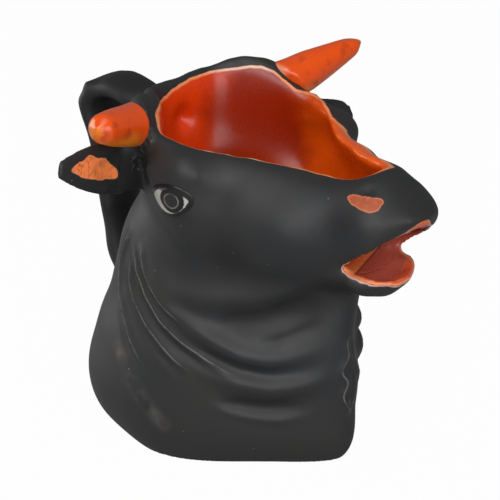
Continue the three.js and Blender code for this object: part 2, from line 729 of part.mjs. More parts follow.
const hollow = cavity(GAP + GLAZE);
const lining = cavity(GAP).subtract(hollow).subtract(openingOver(0)).subtract(mouthHollow(-GAP));
const rimCap = headSkin(0, HEAD_RINGS, HEAD_SIDES).subtract(hollow)
  .intersect(openingOver(GLAZE)).subtract(openingOver(0));
solids.liner_glaze = [lining.add(rimCap), ORANGE_GLAZE];

const scoop = jawSkin().subtract(clearBody.subtract(gapeUnder(GAP)));
solids.lower_jaw = [scoop.subtract(mouthHollow(-GLAZE - GAP)), BLACK_GLAZE];
solids.lip_glaze = [scoop.intersect(mouthHollow(-GLAZE)).subtract(mouth), ORANGE_GLAZE];
solids.handle = [handleSolid(clearBody), BLACK_GLAZE];

for (const [name, pose] of Object.entries(SIDES)) {
  solids[`horn_${name}`] = [hornSolid(pose, 0).subtract(clearBody), HORN_GLAZE];
  const { ear, glaze } = earParts(pose, clearBody.add(hornSolid(pose, GAP)));
  solids[`ear_${name}`] = [ear, BLACK_GLAZE];
  solids[`ear_glaze_${name}`] = [glaze, ORANGE_GLAZE];

  const eye = skinSpot(browX + EYE_AHEAD, JAW_Z + EYE_RISE, pose.side).frame;
  clay = clay.subtract(ovalAt(eye, EYE_LONG, EYE_HIGH, EYE_DEEP));
  solids[`eye_${name}`] = [ovalAt(eye, EYE_LONG - GAP, EYE_HIGH - GAP, EYE_DEEP - GAP), EYE_GLAZE];

  const nostril = skinSpot(nostrilX - NOSTRIL_BEHIND, JAW_Z + NOSTRIL_RISE, pose.side).frame;
  clay = clay.subtract(ovalAt(nostril, NOSTRIL_LONG, NOSTRIL_HIGH, NOSTRIL_DEEP));
  const pad = ovalAt(nostril, NOSTRIL_LONG - GAP, NOSTRIL_HIGH - GAP, NOSTRIL_DEEP - GAP);
  const coat = pad.intersect(headSkin(GLAZE_SINK, HEAD_RINGS, HEAD_SIDES));
  solids[`nostril_glaze_${name}`] = [coat, ORANGE_GLAZE];
}
solids.head_body = [clay, BLACK_GLAZE];

const creamer = new THREE.Group();
creamer.name = "bull_creamer";
for (const [name, [solid, finish]] of Object.entries(solids)) {
  const mesh = new THREE.Mesh(geometryOf(solid), finish.clone());
  mesh.name = name;
  creamer.add(mesh);
}

// The part's origin lies on the table, under the middle of its box
const middle = new THREE.Box3().setFromObject(creamer).getCenter(new THREE.Vector3());
creamer.position.set(-middle.x, -middle.y, 0);

export default creamer;
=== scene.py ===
"""Dresses the bull's-head creamer: one slip-cast skin, parted into its pieces, glazed and lit."""

import logging
import math
from collections.abc import Iterator
from contextlib import contextmanager
from dataclasses import dataclass
from enum import Enum
from typing import Union

import bmesh
import bpy
import numpy as np
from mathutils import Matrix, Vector
from mathutils.bvhtree import BVHTree
from mathutils.interpolate import poly_3d_calc


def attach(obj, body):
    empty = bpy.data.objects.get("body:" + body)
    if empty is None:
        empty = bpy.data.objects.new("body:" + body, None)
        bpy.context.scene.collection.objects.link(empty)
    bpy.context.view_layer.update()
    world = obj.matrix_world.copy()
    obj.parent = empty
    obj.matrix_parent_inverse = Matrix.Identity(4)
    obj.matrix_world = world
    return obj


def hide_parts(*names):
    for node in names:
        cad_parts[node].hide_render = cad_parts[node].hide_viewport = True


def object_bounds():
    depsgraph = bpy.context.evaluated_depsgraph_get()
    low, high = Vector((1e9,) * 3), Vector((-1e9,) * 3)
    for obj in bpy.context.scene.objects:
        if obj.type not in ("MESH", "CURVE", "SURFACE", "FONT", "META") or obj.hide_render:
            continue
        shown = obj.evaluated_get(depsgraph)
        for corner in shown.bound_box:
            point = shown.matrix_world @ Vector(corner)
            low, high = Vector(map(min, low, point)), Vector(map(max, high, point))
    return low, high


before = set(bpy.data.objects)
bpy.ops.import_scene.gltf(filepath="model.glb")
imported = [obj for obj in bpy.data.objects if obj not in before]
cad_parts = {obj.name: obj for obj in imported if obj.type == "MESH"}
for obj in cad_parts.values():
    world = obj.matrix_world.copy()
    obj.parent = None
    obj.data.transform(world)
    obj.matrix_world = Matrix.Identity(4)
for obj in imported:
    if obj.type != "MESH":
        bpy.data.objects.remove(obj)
CAD_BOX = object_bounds()

LOG = logging.getLogger("creamer")
MM = 0.001

# The bull's own middle plane, a little off the box's middle because its ears are not alike
MIDDLE_Y = 0.151

# What turns a direction to the other side of that plane
MIRROR = np.array([1.0, -1.0, 1.0])

# The way across the photograph, on the ground
ACROSS_X = 0.73
ACROSS_Y = 0.68

Pixel = tuple[float, float]
Span = tuple[float, float]
Place = tuple[float, float, float]
Colour = tuple[float, float, float]


def mirrored(points: np.ndarray) -> np.ndarray:
    """Reflect points in the bull's middle plane.

    Args:
        points: Rows of x, y, z in millimetres.

    Returns:
        The same points on the other side of the head.
    """
    other = points.copy()
    other[:, 1] = 2 * MIDDLE_Y - other[:, 1]
    return other


def eased(value: np.ndarray, low: float, high: float) -> np.ndarray:
    """Ramp a value from 0 at low to 1 at high with flat ends.

    Args:
        value: The values to ramp.
        low: Where the ramp is 0.
        high: Where the ramp is 1.

    Returns:
        The ramped values.
    """
    share = np.clip((value - low) / (high - low), 0.0, 1.0)
    return share * share * (3 - 2 * share)


def linear(red: int, green: int, blue: int) -> Colour:
    """Turn a colour read off a screen, 0 to 255, into linear values by the standard curve of screens.

    Args:
        red: Red on the screen.
        green: Green on the screen.
        blue: Blue on the screen.

    Returns:
        The linear colour.
    """
    parts = [part / 255 for part in (red, green, blue)]
    return tuple(p / 12.92 if p <= 0.04045 else ((p + 0.055) / 1.055) ** 2.4 for p in parts)


class Wire:
    """One number inside a node tree; sums on it add Math nodes."""

    def __init__(self, sheet: "Sheet", socket: bpy.types.NodeSocket) -> None:
        """Keep the sheet that the socket belongs to."""
        self.sheet = sheet
        self.socket = socket

    def __add__(self, other: "Number") -> "Wire":
        """Add."""
        return self.sheet.sum("ADD", self, other)

    def __radd__(self, other: "Number") -> "Wire":
        """Add, from the right."""
        return self.sheet.sum("ADD", other, self)

    def __sub__(self, other: "Number") -> "Wire":
        """Subtract."""
        return self.sheet.sum("SUBTRACT", self, other)

    def __rsub__(self, other: "Number") -> "Wire":
        """Subtract, from the right."""
        return self.sheet.sum("SUBTRACT", other, self)

    def __mul__(self, other: "Number") -> "Wire":
        """Multiply."""
        return self.sheet.sum("MULTIPLY", self, other)

    def __rmul__(self, other: "Number") -> "Wire":
        """Multiply, from the right."""
        return self.sheet.sum("MULTIPLY", other, self)

    def __truediv__(self, other: "Number") -> "Wire":
        """Divide."""
        return self.sheet.sum("DIVIDE", self, other)

    def __rtruediv__(self, other: "Number") -> "Wire":
        """Divide, from the right."""
        return self.sheet.sum("DIVIDE", other, self)

    def __pow__(self, other: "Number") -> "Wire":
        """Raise to a power."""
        return self.sheet.sum("POWER", self, other)

    def __abs__(self) -> "Wire":
        """Drop the sign."""
        return self.sheet.sum("ABSOLUTE", self)

    def most(self, other: "Number") -> "Wire":
        """Take the larger of two."""
        return self.sheet.sum("MAXIMUM", self, other)

    def ramp(self, low: float, high: float) -> "Wire":
        """Ramp from 0 at low to 1 at high with flat ends."""
        settings = {"interpolation_type": "SMOOTHSTEP"}
        inputs = {0: self, 1: low, 2: high, 3: 0.0, 4: 1.0}
        return self.sheet.wire("ShaderNodeMapRange", settings, inputs)

    def band(self, inner: float, outer: float) -> "Wire":
        """Make 1 where the value is within inner of zero, falling to 0 at outer."""
        return 1.0 - abs(self).ramp(inner, outer)


Number = Union[Wire, float]


class Sheet:
    """The node tree of a material or of the world, laid out by code."""

    SPECK_CORE = 0.4
    LUCK_STEP = 0.01

    def __init__(self, owner: Union[bpy.types.Material, bpy.types.World]) -> None:
        """Empty the owner's tree and start it with the object's own coordinates."""
        self.owner = owner
        owner.use_nodes = True
        self.tree = owner.node_tree
        self.tree.nodes.clear()
        self.spot = self.wire("ShaderNodeTexCoord", {}, {}, "Object")

    @classmethod
    def for_glaze(cls, name: str) -> "Sheet":
        """Start the sheet of a new material."""
        return cls(bpy.data.materials.new(name))

    def node(self, kind: str, settings: dict, inputs: dict) -> bpy.types.Node:
        """Add one node.

        Args:
            kind: The node's type.
            settings: Values of the node's own options, by name.
            inputs: Wires or plain values of its sockets, by name or place.

        Returns:
            The node.
        """
        node = self.tree.nodes.new(kind)
        for name, value in settings.items():
            setattr(node, name, value)
        for key, value in inputs.items():
            if isinstance(value, Wire):
                self.tree.links.new(value.socket, node.inputs[key])
            else:
                node.inputs[key].default_value = value
        return node

    def wire(self, kind: str, settings: dict, inputs: dict, output: Union[int, str] = 0) -> Wire:
        """Add one node and take one of its outputs.

        Args:
            kind: The node's type.
            settings: Values of the node's own options, by name.
            inputs: Wires or plain values of its sockets, by name or place.
            output: The output to take, by name or place.

        Returns:
            The output.
        """
        return Wire(self, self.node(kind, settings, inputs).outputs[output])

    def sum(self, operation: str, first: Number, second: Number = 0.0) -> Wire:
        """Add a Math node on two numbers."""
        return self.wire("ShaderNodeMath", {"operation": operation}, {0: first, 1: second})

    def paint(self, share: Number, under: Union[Wire, Colour], over: Union[Wire, Colour]) -> Wire:
        """Lay one colour over another.

        Args:
            share: How much of the upper colour shows, 0 to 1.
            under: The colour below.
            over: The colour above.

        Returns:
            The mixed colour.
        """
        under = under if isinstance(under, Wire) else (*under, 1.0)
        over = over if isinstance(over, Wire) else (*over, 1.0)
        return self.wire("ShaderNodeMix", {"data_type": "RGBA"}, {0: share, 6: under, 7: over}, 2)

    def noise(self, size_mm: float, detail: float = 2.0, rough: float = 0.5) -> Wire:
        """Make soft noise about 0.5.

        Args:
            size_mm: The size of one blotch.
            detail: How many finer octaves are added.
            rough: How strong the finer octaves are.

        Returns:
            The noise.
        """
        inputs = {"Vector": self.spot, "Scale": 1 / (size_mm * MM), "Detail": detail, "Roughness": rough}
        return self.wire("ShaderNodeTexNoise", {}, inputs)

    def sway(self, size_mm: float, detail: float, by: float) -> Wire:
        """Make soft noise about 0, as wide as an amount."""
        return (self.noise(size_mm, detail) - 0.5) * by

    def specks(self, pitch_mm: float, radius: float, kept: float) -> Wire:
        """Scatter small round specks.

        Args:
            pitch_mm: The distance between possible specks.
            radius: A speck's radius as a share of the pitch.
            kept: The share of possible specks that show.

        Returns:
            A mask, 1 in a speck.
        """
        inputs = {"Vector": self.spot, "Scale": 1 / (pitch_mm * MM)}
        near = self.wire("ShaderNodeTexVoronoi", {}, inputs, "Distance")
        cell = self.wire("ShaderNodeTexVoronoi", {}, inputs, "Color")
        luck = self.wire("ShaderNodeSeparateColor", {}, {0: cell}, 0)
        shown = 1.0 - luck.ramp(kept, kept + self.LUCK_STEP)
        return (1.0 - near.ramp(radius * self.SPECK_CORE, radius)) * shown

    def mark(self, mark: "AnyMark") -> Wire:
        """Read a number that the mesh carries at its points."""
        return self.wire("ShaderNodeAttribute", {"attribute_name": mark.value}, {}, "Fac")

    def relief(self, height: Wire, depth_mm: float) -> Wire:
        """Turn a height of 0 to 1 into a bumped normal of that depth."""
        inputs = {"Height": height, "Distance": depth_mm * MM, "Strength": 1.0}
        return self.wire("ShaderNodeBump", {}, inputs)

    def place(self, axis: str) -> Wire:
        """Read the point's own X, Y or Z in metres."""
        return self.wire("ShaderNodeSeparateXYZ", {}, {0: self.spot}, axis)

    def finish(self, inputs: dict) -> bpy.types.Material:
        """Close the tree with the glaze's shader and hand over the material."""
        shader = self.wire("ShaderNodeBsdfPrincipled", {}, inputs)
        self.node("ShaderNodeOutputMaterial", {}, {"Surface": shader})
        return self.owner


class Mark(Enum):
    """Numbers that the skin's points carry for the glazes: millimetres, or a share of 0 to 1."""

    LINING = "lining"
    PATCH = "patch"
    CREST = "crest"
    CREST_SHARE = "crest_share"
    GRAIN = "grain"
    LIP = "lip"
    SILL = "sill"
    # Painted highlight: a pale sheen streak along the shoulder
    PAINTED_SHEEN = "painted_sheen"
    # Painted shade: darker black in pressed hollows and on the strap
    PAINTED_SHADE = "painted_shade"


class SmallMark(Enum):
    """Numbers that the points of a horn or an eye carry: shares, or millimetres from the eye's middle."""

    ALONG = "along"
    UNDER = "under"
    EYE_ALONG = "eye_along"
    EYE_UP = "eye_up"


AnyMark = Union[Mark, SmallMark]


@dataclass(frozen=True)
class BodyGlaze:
    """Satin black over the clay, with the orange glaze brushed inside and on the spots."""

    black: Colour = linear(36, 37, 39)
    black_warm: Colour = linear(42, 41, 39)
    # Painted highlight: the pale sheen streak along the shoulder
    painted_sheen_colour: Colour = linear(98, 93, 86)
    # Painted shade: the darker black of hollows and the strap
    painted_shade_colour: Colour = linear(14, 14, 15)
    # Pale for specks and crumbly lumps, and on ridge crests, where it is partly thin glaze and partly
    # painted highlight
    worn: Colour = linear(112, 111, 108)
    # The lining with painted light and shade: bright on the left, painted shade deep in the middle, lit
    # amber on the right and low down
    lining: Colour = linear(226, 62, 8)
    lining_shaded: Colour = linear(142, 33, 3)
    lining_amber_lit: Colour = linear(242, 94, 8)
    # Painted highlight on the upper lip's rounded edge
    lip_highlight: Colour = linear(222, 172, 158)
    # Painted shade in the mouth, under the upper lip and along the sill's edge
    mouth_shade: Colour = linear(112, 34, 26)
    mouth: Colour = linear(182, 86, 68)
    peach: Colour = linear(238, 146, 96)
    lip: Colour = linear(224, 94, 54)
    sill: Colour = linear(255, 158, 94)
    # One orange for the dabs, painted lighter on the ears against the horn's shadow and darker on the
    # nostrils, which are lit from above
    ear_dab_lit: Colour = linear(255, 138, 74)
    nose_dab_shaded: Colour = linear(168, 76, 44)
    patch_dark: Colour = linear(150, 52, 26)
    patch_pale: Colour = linear(236, 150, 112)
    patch_brown: Colour = linear(176, 104, 54)
    peach_pale: Colour = linear(226, 190, 170)
    satin: float = 0.55
    gloss: float = 0.28
    shine: float = 0.45
    relief_mm: float = 0.12
    edge_soft: float = 0.12
    dab_soft: float = 0.1
    crest_wide: Span = (0.1, 0.42)
    lip_highlight_out: float = 0.3
    lip_highlight_wide: Span = (0.1, 0.35)
    grain_deep: Span = (0.0, 3.0)
    painted_sheen_deep: Span = (0.0, 4.0)
    painted_shade_deep: Span = (0.1, 1.2)
    # Where the lining's painted light and shade change, across the view and with height
    bright_to: Span = (-4.0, -18.0)
    amber_from: Span = (12.0, 30.0)
    amber_below: Span = (84.0, 64.0)
    pale_at: float = -3.0
    pale_wide: Span = (6.0, 14.0)
    thin_to: Span = (0.5, 1.1)
    mouth_ahead: Span = (40.0, 43.0)
    mouth_under: Span = (80.0, 77.0)
    nose_ahead: Span = (0.0, 20.0)

    def material(self) -> bpy.types.Material:
        """Lay the glazes over one another and return the material."""
        sheet = Sheet.for_glaze("body_glaze")
        broad = sheet.noise(26, 2)
        fine = sheet.noise(2.2, 3)
        lining = sheet.mark(Mark.LINING) + sheet.sway(3.5, 2, 0.7)
        inside = lining.ramp(-self.edge_soft, self.edge_soft)
        patch = sheet.mark(Mark.PATCH) + sheet.sway(1.8, 3, 1.0)
        spot = patch.ramp(-self.dab_soft, self.dab_soft)
        crest = sheet.mark(Mark.CREST).band(*self.crest_wide) * sheet.mark(Mark.CREST_SHARE)
        specks = sheet.specks(3.4, 0.1, 0.12)
        grain = sheet.mark(Mark.GRAIN).ramp(*self.grain_deep)
        black = self.clay(sheet, broad, crest, specks, grain)
        orange = self.orange(sheet, lining)
        dab = self.dab(sheet, patch, fine)
        colour = sheet.paint(spot, sheet.paint(inside, black, orange), dab)
        # Painted highlight: a pale line along the upper lip's rounded edge, just outside the orange
        edge = (sheet.mark(Mark.LINING) + self.lip_highlight_out).band(*self.lip_highlight_wide)
        colour = sheet.paint(edge * self.in_mouth(sheet) * 0.85, colour, self.lip_highlight)
        coloured = inside.most(spot)
        satin = self.satin + (broad - 0.5) * 0.16 + (fine - 0.5) * 0.1
        glossy = self.gloss + (fine - 0.5) * 0.08 + spot * 0.25
        rough = satin * (1.0 - coloured) + glossy * coloured
        lumps = sheet.noise(1.5, 2).ramp(0.42, 0.68) * grain
        height = fine * 0.2 + specks * 0.8 + lumps * 3.0 + coloured * 0.3 + crest * 1.6
        return sheet.finish({
            "Base Color": colour,
            "Roughness": rough,
            "Normal": sheet.relief(height, self.relief_mm),
            "Specular IOR Level": self.shine,
        })

    def clay(self, sheet: Sheet, broad: Wire, crest: Wire, specks: Wire, grain: Wire) -> Wire:
        """Mix the black: warmer in places, darker in hollows and on the strap with painted shade, paler
        along the shoulder with a painted highlight streak, paler on ridges with thin glaze and painted
        highlight, and in specks.

        Args:
            sheet: The material's sheet.
            broad: Slow noise.
            crest: 1 on a fine ridge's crest.
            specks: 1 in a speck.
            grain: 1 where the glaze is crumbly.

        Returns:
            The colour.
        """
        black = sheet.paint(broad.ramp(0.35, 0.7) * 0.7, self.black, self.black_warm)
        # Painted highlight: a pale sheen streak along the shoulder, painted into the black
        painted_sheen = sheet.mark(Mark.PAINTED_SHEEN).ramp(*self.painted_sheen_deep) * sheet.noise(5, 4).ramp(0.3, 0.7)
        black = sheet.paint(painted_sheen * 0.6, black, self.painted_sheen_colour)
        # Painted shade: the black painted darker in pressed hollows and on the strap
        painted_shade = sheet.mark(Mark.PAINTED_SHADE).ramp(*self.painted_shade_deep)
        black = sheet.paint(painted_shade * 0.6, black, self.painted_shade_colour)
        # Ridge crests painted paler: partly the glaze thinning over them, partly painted highlight
        worn = crest * sheet.noise(4, 3).ramp(0.3, 0.6) * 0.75
        lumps = sheet.noise(1.5, 2).ramp(0.6, 0.72) * grain * 0.45
        return sheet.paint(worn.most(specks * 0.7).most(lumps), black, self.worn)

    def orange(self, sheet: Sheet, lining: Wire) -> Wire:
        """Mix the lining with painted light and shade: bright on the left, deep with painted shade in the
        middle, lit amber on the right and low down, and pale at its edge.

        Args:
            sheet: The material's sheet.
            lining: Millimetres inside the painted edge.

        Returns:
            The colour.
        """
        # Painted light and shade across the view: bright on the left, shade in the middle, lighter amber on
        # the right and low down
        across = (sheet.place("X") * ACROSS_X + sheet.place("Y") * ACROSS_Y) / MM
        across = across + sheet.sway(14, 3, 18.0)
        low = (sheet.place("Z") / MM).ramp(*self.amber_below) * 0.5
        amber = across.ramp(*self.amber_from).most(low)
        lit = sheet.paint(amber, self.lining_shaded, self.lining_amber_lit)
        lit = sheet.paint(across.ramp(*self.bright_to), lit, self.lining)
        # Painted shadow: the mouth is painted darker higher up, under the upper lip
        over = (sheet.place("Z") - sheet.place("X") * MOUTH_SLOPE) / MM - MOUTH_LEVEL
        shaded_mouth = sheet.paint(over.ramp(0.0, 3.0), self.mouth, self.mouth_shade)
        mouth = self.in_mouth(sheet)
        lit = sheet.paint(mouth, lit, shaded_mouth)
        sill = sheet.mark(Mark.SILL)
        lit = sheet.paint(sill.ramp(-0.3, 0.5), lit, self.sill)
        # A dark line of painted shade along the sill's edge
        lit = sheet.paint(sill.band(0.1, 0.4) * 0.8, lit, self.mouth_shade)
        lit = sheet.paint(sheet.mark(Mark.LIP).ramp(-0.4, 0.4), lit, self.lip)
        worn = sheet.noise(5, 3).ramp(0.25, 0.55)
        pale = (across - self.pale_at).band(*self.pale_wide)
        peach = sheet.paint(pale * 0.7, self.peach, self.peach_pale)
        # The upper lip's edge inside the mouth gets the same painted highlight
        peach = sheet.paint(mouth * over.ramp(0.0, 2.0), peach, self.lip_highlight)
        paler_share = 1.0 - lining.ramp(*self.thin_to)
        return sheet.paint(paler_share * (0.55 + 0.45 * worn), lit, peach)

    def in_mouth(self, sheet: Sheet) -> Wire:
        """Make 1 in the mouth and 0 in the crown."""
        ahead = (sheet.place("X") / MM).ramp(*self.mouth_ahead)
        return ahead * (sheet.place("Z") / MM).ramp(*self.mouth_under)

    def dab(self, sheet: Sheet, patch: Wire, fine: Wire) -> Wire:
        """Mix the orange of the ears and nostrils: painted lighter on the ears and darker on the nostrils
        for light and shade, crazed, and pale along its edge.

        Args:
            sheet: The material's sheet.
            patch: Millimetres inside the dab's edge.
            fine: Fine noise.

        Returns:
            The colour.
        """
        cracks = (sheet.noise(4.0, 3) - 0.5).band(0.004, 0.02)
        blotch = sheet.noise(2.6, 3).ramp(0.45, 0.65) * 0.45
        # Painted light and shade: the ears' dab lighter, the nostrils' darker
        on_nose = (sheet.place("X") / MM).ramp(*self.nose_ahead)
        dab = sheet.paint(on_nose, self.ear_dab_lit, self.nose_dab_shaded)
        dab = sheet.paint(blotch, dab, self.patch_brown)
        dab = sheet.paint(cracks * fine.ramp(0.4, 0.6) * 0.7, dab, self.patch_dark)
        dab = sheet.paint(fine.ramp(0.55, 0.75) * 0.3, dab, self.patch_pale)
        return sheet.paint((1.0 - patch.ramp(0.1, 0.5)) * 0.4, dab, self.patch_pale)


@dataclass(frozen=True)
class HornGlaze:
    """Orange glaze on a horn: redder above, yellower towards the underside, a painted yellow glint at the
    tip, and pale at its root.
    """

    orange: Colour = linear(228, 80, 14)
    yellow: Colour = linear(242, 142, 36)
    smudge: Colour = linear(150, 48, 20)
    pale: Colour = linear(240, 176, 140)
    gloss: float = 0.22
    relief_mm: float = 0.04

    def material(self) -> bpy.types.Material:
        """Lay the glaze and return the material."""
        sheet = Sheet.for_glaze("horn_glaze")
        broad = sheet.noise(11, 2)
        along = sheet.mark(SmallMark.ALONG)
        under = sheet.mark(SmallMark.UNDER)
        # Yellower towards the underside
        paler_share = (under * 0.7 + (broad - 0.5) * 1.4).ramp(0.1, 0.7)
        colour = sheet.paint(paler_share * 0.75, self.orange, self.yellow)
        colour = sheet.paint(sheet.noise(4.5, 4).ramp(0.55, 0.75) * 0.5, colour, self.smudge)
        # Painted highlight: yellow glints at the tip
        tip = along.ramp(0.88, 1.0) * sheet.noise(2.4, 2).ramp(0.4, 0.6)
        colour = sheet.paint(tip * 0.7, colour, self.yellow)
        root = (1.0 - (along + (broad - 0.5) * 0.05).ramp(0.0, 0.05)) * 0.6
        colour = sheet.paint(root, colour, self.pale)
        fine = sheet.noise(1.8, 3)
        rough = self.gloss + (fine - 0.5) * 0.12
        bumped = sheet.relief(fine, self.relief_mm)
        return sheet.finish({"Base Color": colour, "Roughness": rough, "Normal": bumped})


@dataclass(frozen=True)
class EyePaint:
    """An eye painted by hand: white, black iris, a grey ring and a dark pupil, outlined in black, with the
    lid's shadow painted over its top.
    """

    white: Colour = linear(176, 177, 172)
    black: Colour = linear(16, 16, 17)
    ring: Colour = linear(112, 106, 104)
    pupil: Colour = linear(34, 33, 33)
    half_long: float = 6.3
    half_high: float = 4.1
    iris_ahead: float = 1.2
    iris_up: float = 0.2
    iris: float = 3.7
    iris_ring: float = 2.2
    pupil_edge: Span = (1.7, 1.95)
    outline: float = 0.35
    edge_soft: float = 0.12
    ring_wide: Span = (0.1, 0.32)
    # Where the lid's painted shadow falls over the top of the eye
    lid_shadow_slope: float = 0.25
    lid_shadow_from: Span = (1.9, 2.9)
    gloss: float = 0.3
    relief_mm: float = 0.03

    def material(self) -> bpy.types.Material:
        """Paint the eye and return the material."""
        sheet = Sheet.for_glaze("eye_paint")
        along = sheet.mark(SmallMark.EYE_ALONG)
        up = sheet.mark(SmallMark.EYE_UP)
        bow = (self.half_long ** 2 + self.half_high ** 2) / (2 * self.half_high)
        sink = bow - self.half_high
        waver = sheet.sway(0.9, 2, 0.5)
        upper = (along * along + (up + sink) * (up + sink)) ** 0.5
        lower = (along * along + (up - sink) * (up - sink)) ** 0.5
        inside = bow - upper.most(lower) + waver * 0.6
        ahead, over = along - self.iris_ahead, up - self.iris_up
        from_middle = (ahead * ahead + over * over) ** 0.5 + waver
        iris = 1.0 - from_middle.ramp(self.iris - self.edge_soft, self.iris + self.edge_soft)
        colour = sheet.paint(iris, self.white, self.black)
        ring = (from_middle - self.iris_ring).band(*self.ring_wide)
        colour = sheet.paint(ring, colour, self.ring)
        pupil = 1.0 - from_middle.ramp(*self.pupil_edge)
        colour = sheet.paint(pupil, colour, self.pupil)
        rim = 1.0 - inside.ramp(self.outline - self.edge_soft, self.outline + self.edge_soft)
        colour = sheet.paint(rim, colour, self.black)
        # Painted shadow of the lid over the top of the eye
        lid_shadow = (up + along * self.lid_shadow_slope).ramp(*self.lid_shadow_from)
        colour = sheet.paint(lid_shadow * 0.85, colour, self.black)
        fine = sheet.noise(1.2, 2)
        rough = self.gloss + (fine - 0.5) * 0.1
        bumped = sheet.relief(fine, self.relief_mm)
        return sheet.finish({"Base Color": colour, "Roughness": rough, "Normal": bumped})


@dataclass(frozen=True)
class PhotoCamera:
    """The camera that took the photograph, fitted to the solids."""

    azimuth: float = 43.0
    elevation: float = 19.5
    distance_mm: float = 460.0
    target_mm: Place = (1.439, MIDDLE_Y, 57.0)
    focal_px: float = 1531.8
    frame_px: float = 500.0
    sensor_mm: float = 36.0
    clip_from_m: float = 0.01

    def axes(self) -> tuple[Vector, Vector, Vector]:
        """Return the camera's right, up and back directions."""
        turn, lift = math.radians(self.azimuth), math.radians(self.elevation)
        back = Vector((math.sin(turn) * math.cos(lift), -math.cos(turn) * math.cos(lift), math.sin(lift)))
        right = Vector((math.cos(turn), math.sin(turn), 0.0))
        return right, back.cross(right), back

    def place(self) -> Vector:
        """Return where the camera stands, in millimetres."""
        return Vector(self.target_mm) + self.distance_mm * self.axes()[2]

    def ray(self, pixel: Pixel) -> Vector:
        """Return the direction from the camera through a pixel of the photograph."""
        right, up, back = self.axes()
        half = self.frame_px / 2
        return (right * (pixel[0] - half) + up * (half - pixel[1]) - back * self.focal_px).normalized()

    def project(self, points: np.ndarray) -> tuple[np.ndarray, np.ndarray]:
        """Find where points fall on the photograph.

        Args:
            points: Rows of x, y, z in millimetres.

        Returns:
            Rows of pixels, and each point's pixels to a millimetre.
        """
        away = points - np.array(self.place())
        right, up, back = (away @ np.array(axis) for axis in self.axes())
        scale = self.focal_px / -back
        half = self.frame_px / 2
        return np.stack([half + right * scale, half - up * scale], axis=1), scale

    def build(self) -> None:
        """Set the scene's camera."""
        data = bpy.data.cameras.new("photo_camera")
        data.sensor_width = self.sensor_mm
        data.lens = self.sensor_mm * self.focal_px / self.frame_px
        data.clip_start = self.clip_from_m
        camera = bpy.data.objects.new("photo_camera", data)
        bpy.context.scene.collection.objects.link(camera)
        camera.location = self.place() * MM
        camera.rotation_euler = self.axes()[2].to_track_quat("Z", "Y").to_euler()
        bpy.context.scene.camera = camera


class Profile(Enum):
    """How a stroke's relief falls off to its sides."""

    RIDGE = "ridge"
    FOLD = "fold"


@dataclass(frozen=True)
class Stroke:
    """A line of relief drawn on the skin by pixels of the photograph, and mirrored to the far side."""

    path: tuple[Pixel, ...]
    width: float
    height: float
    profile: Profile = Profile.RIDGE
    crest: bool = False
    swells_by: float = 0.3
    fades_from: float = 0.55


@dataclass(frozen=True)
class Mound:
    """A round swelling, or a hollow where its height is negative, placed by a pixel and mirrored."""

    pixel: Pixel
    radius: float
    height: float


@dataclass(frozen=True)
class Pull:
    """A place on the skin pushed by the thumb, from one pixel of the photograph to another."""

    start: Pixel
    end: Pixel
    radius: float


@dataclass(frozen=True)
class Thumb:
    """A pull worked out on the skin: its place, how far the skin moves, and where that fades."""

    place: np.ndarray
    shift: np.ndarray
    radius: float


@dataclass(frozen=True)
class Outline:
    """The edge of a dab of glaze, drawn by pixels of the photograph and mirrored to the far side."""

    corners: tuple[Pixel, ...]
    reach: float
    far_drop: float = 0.0


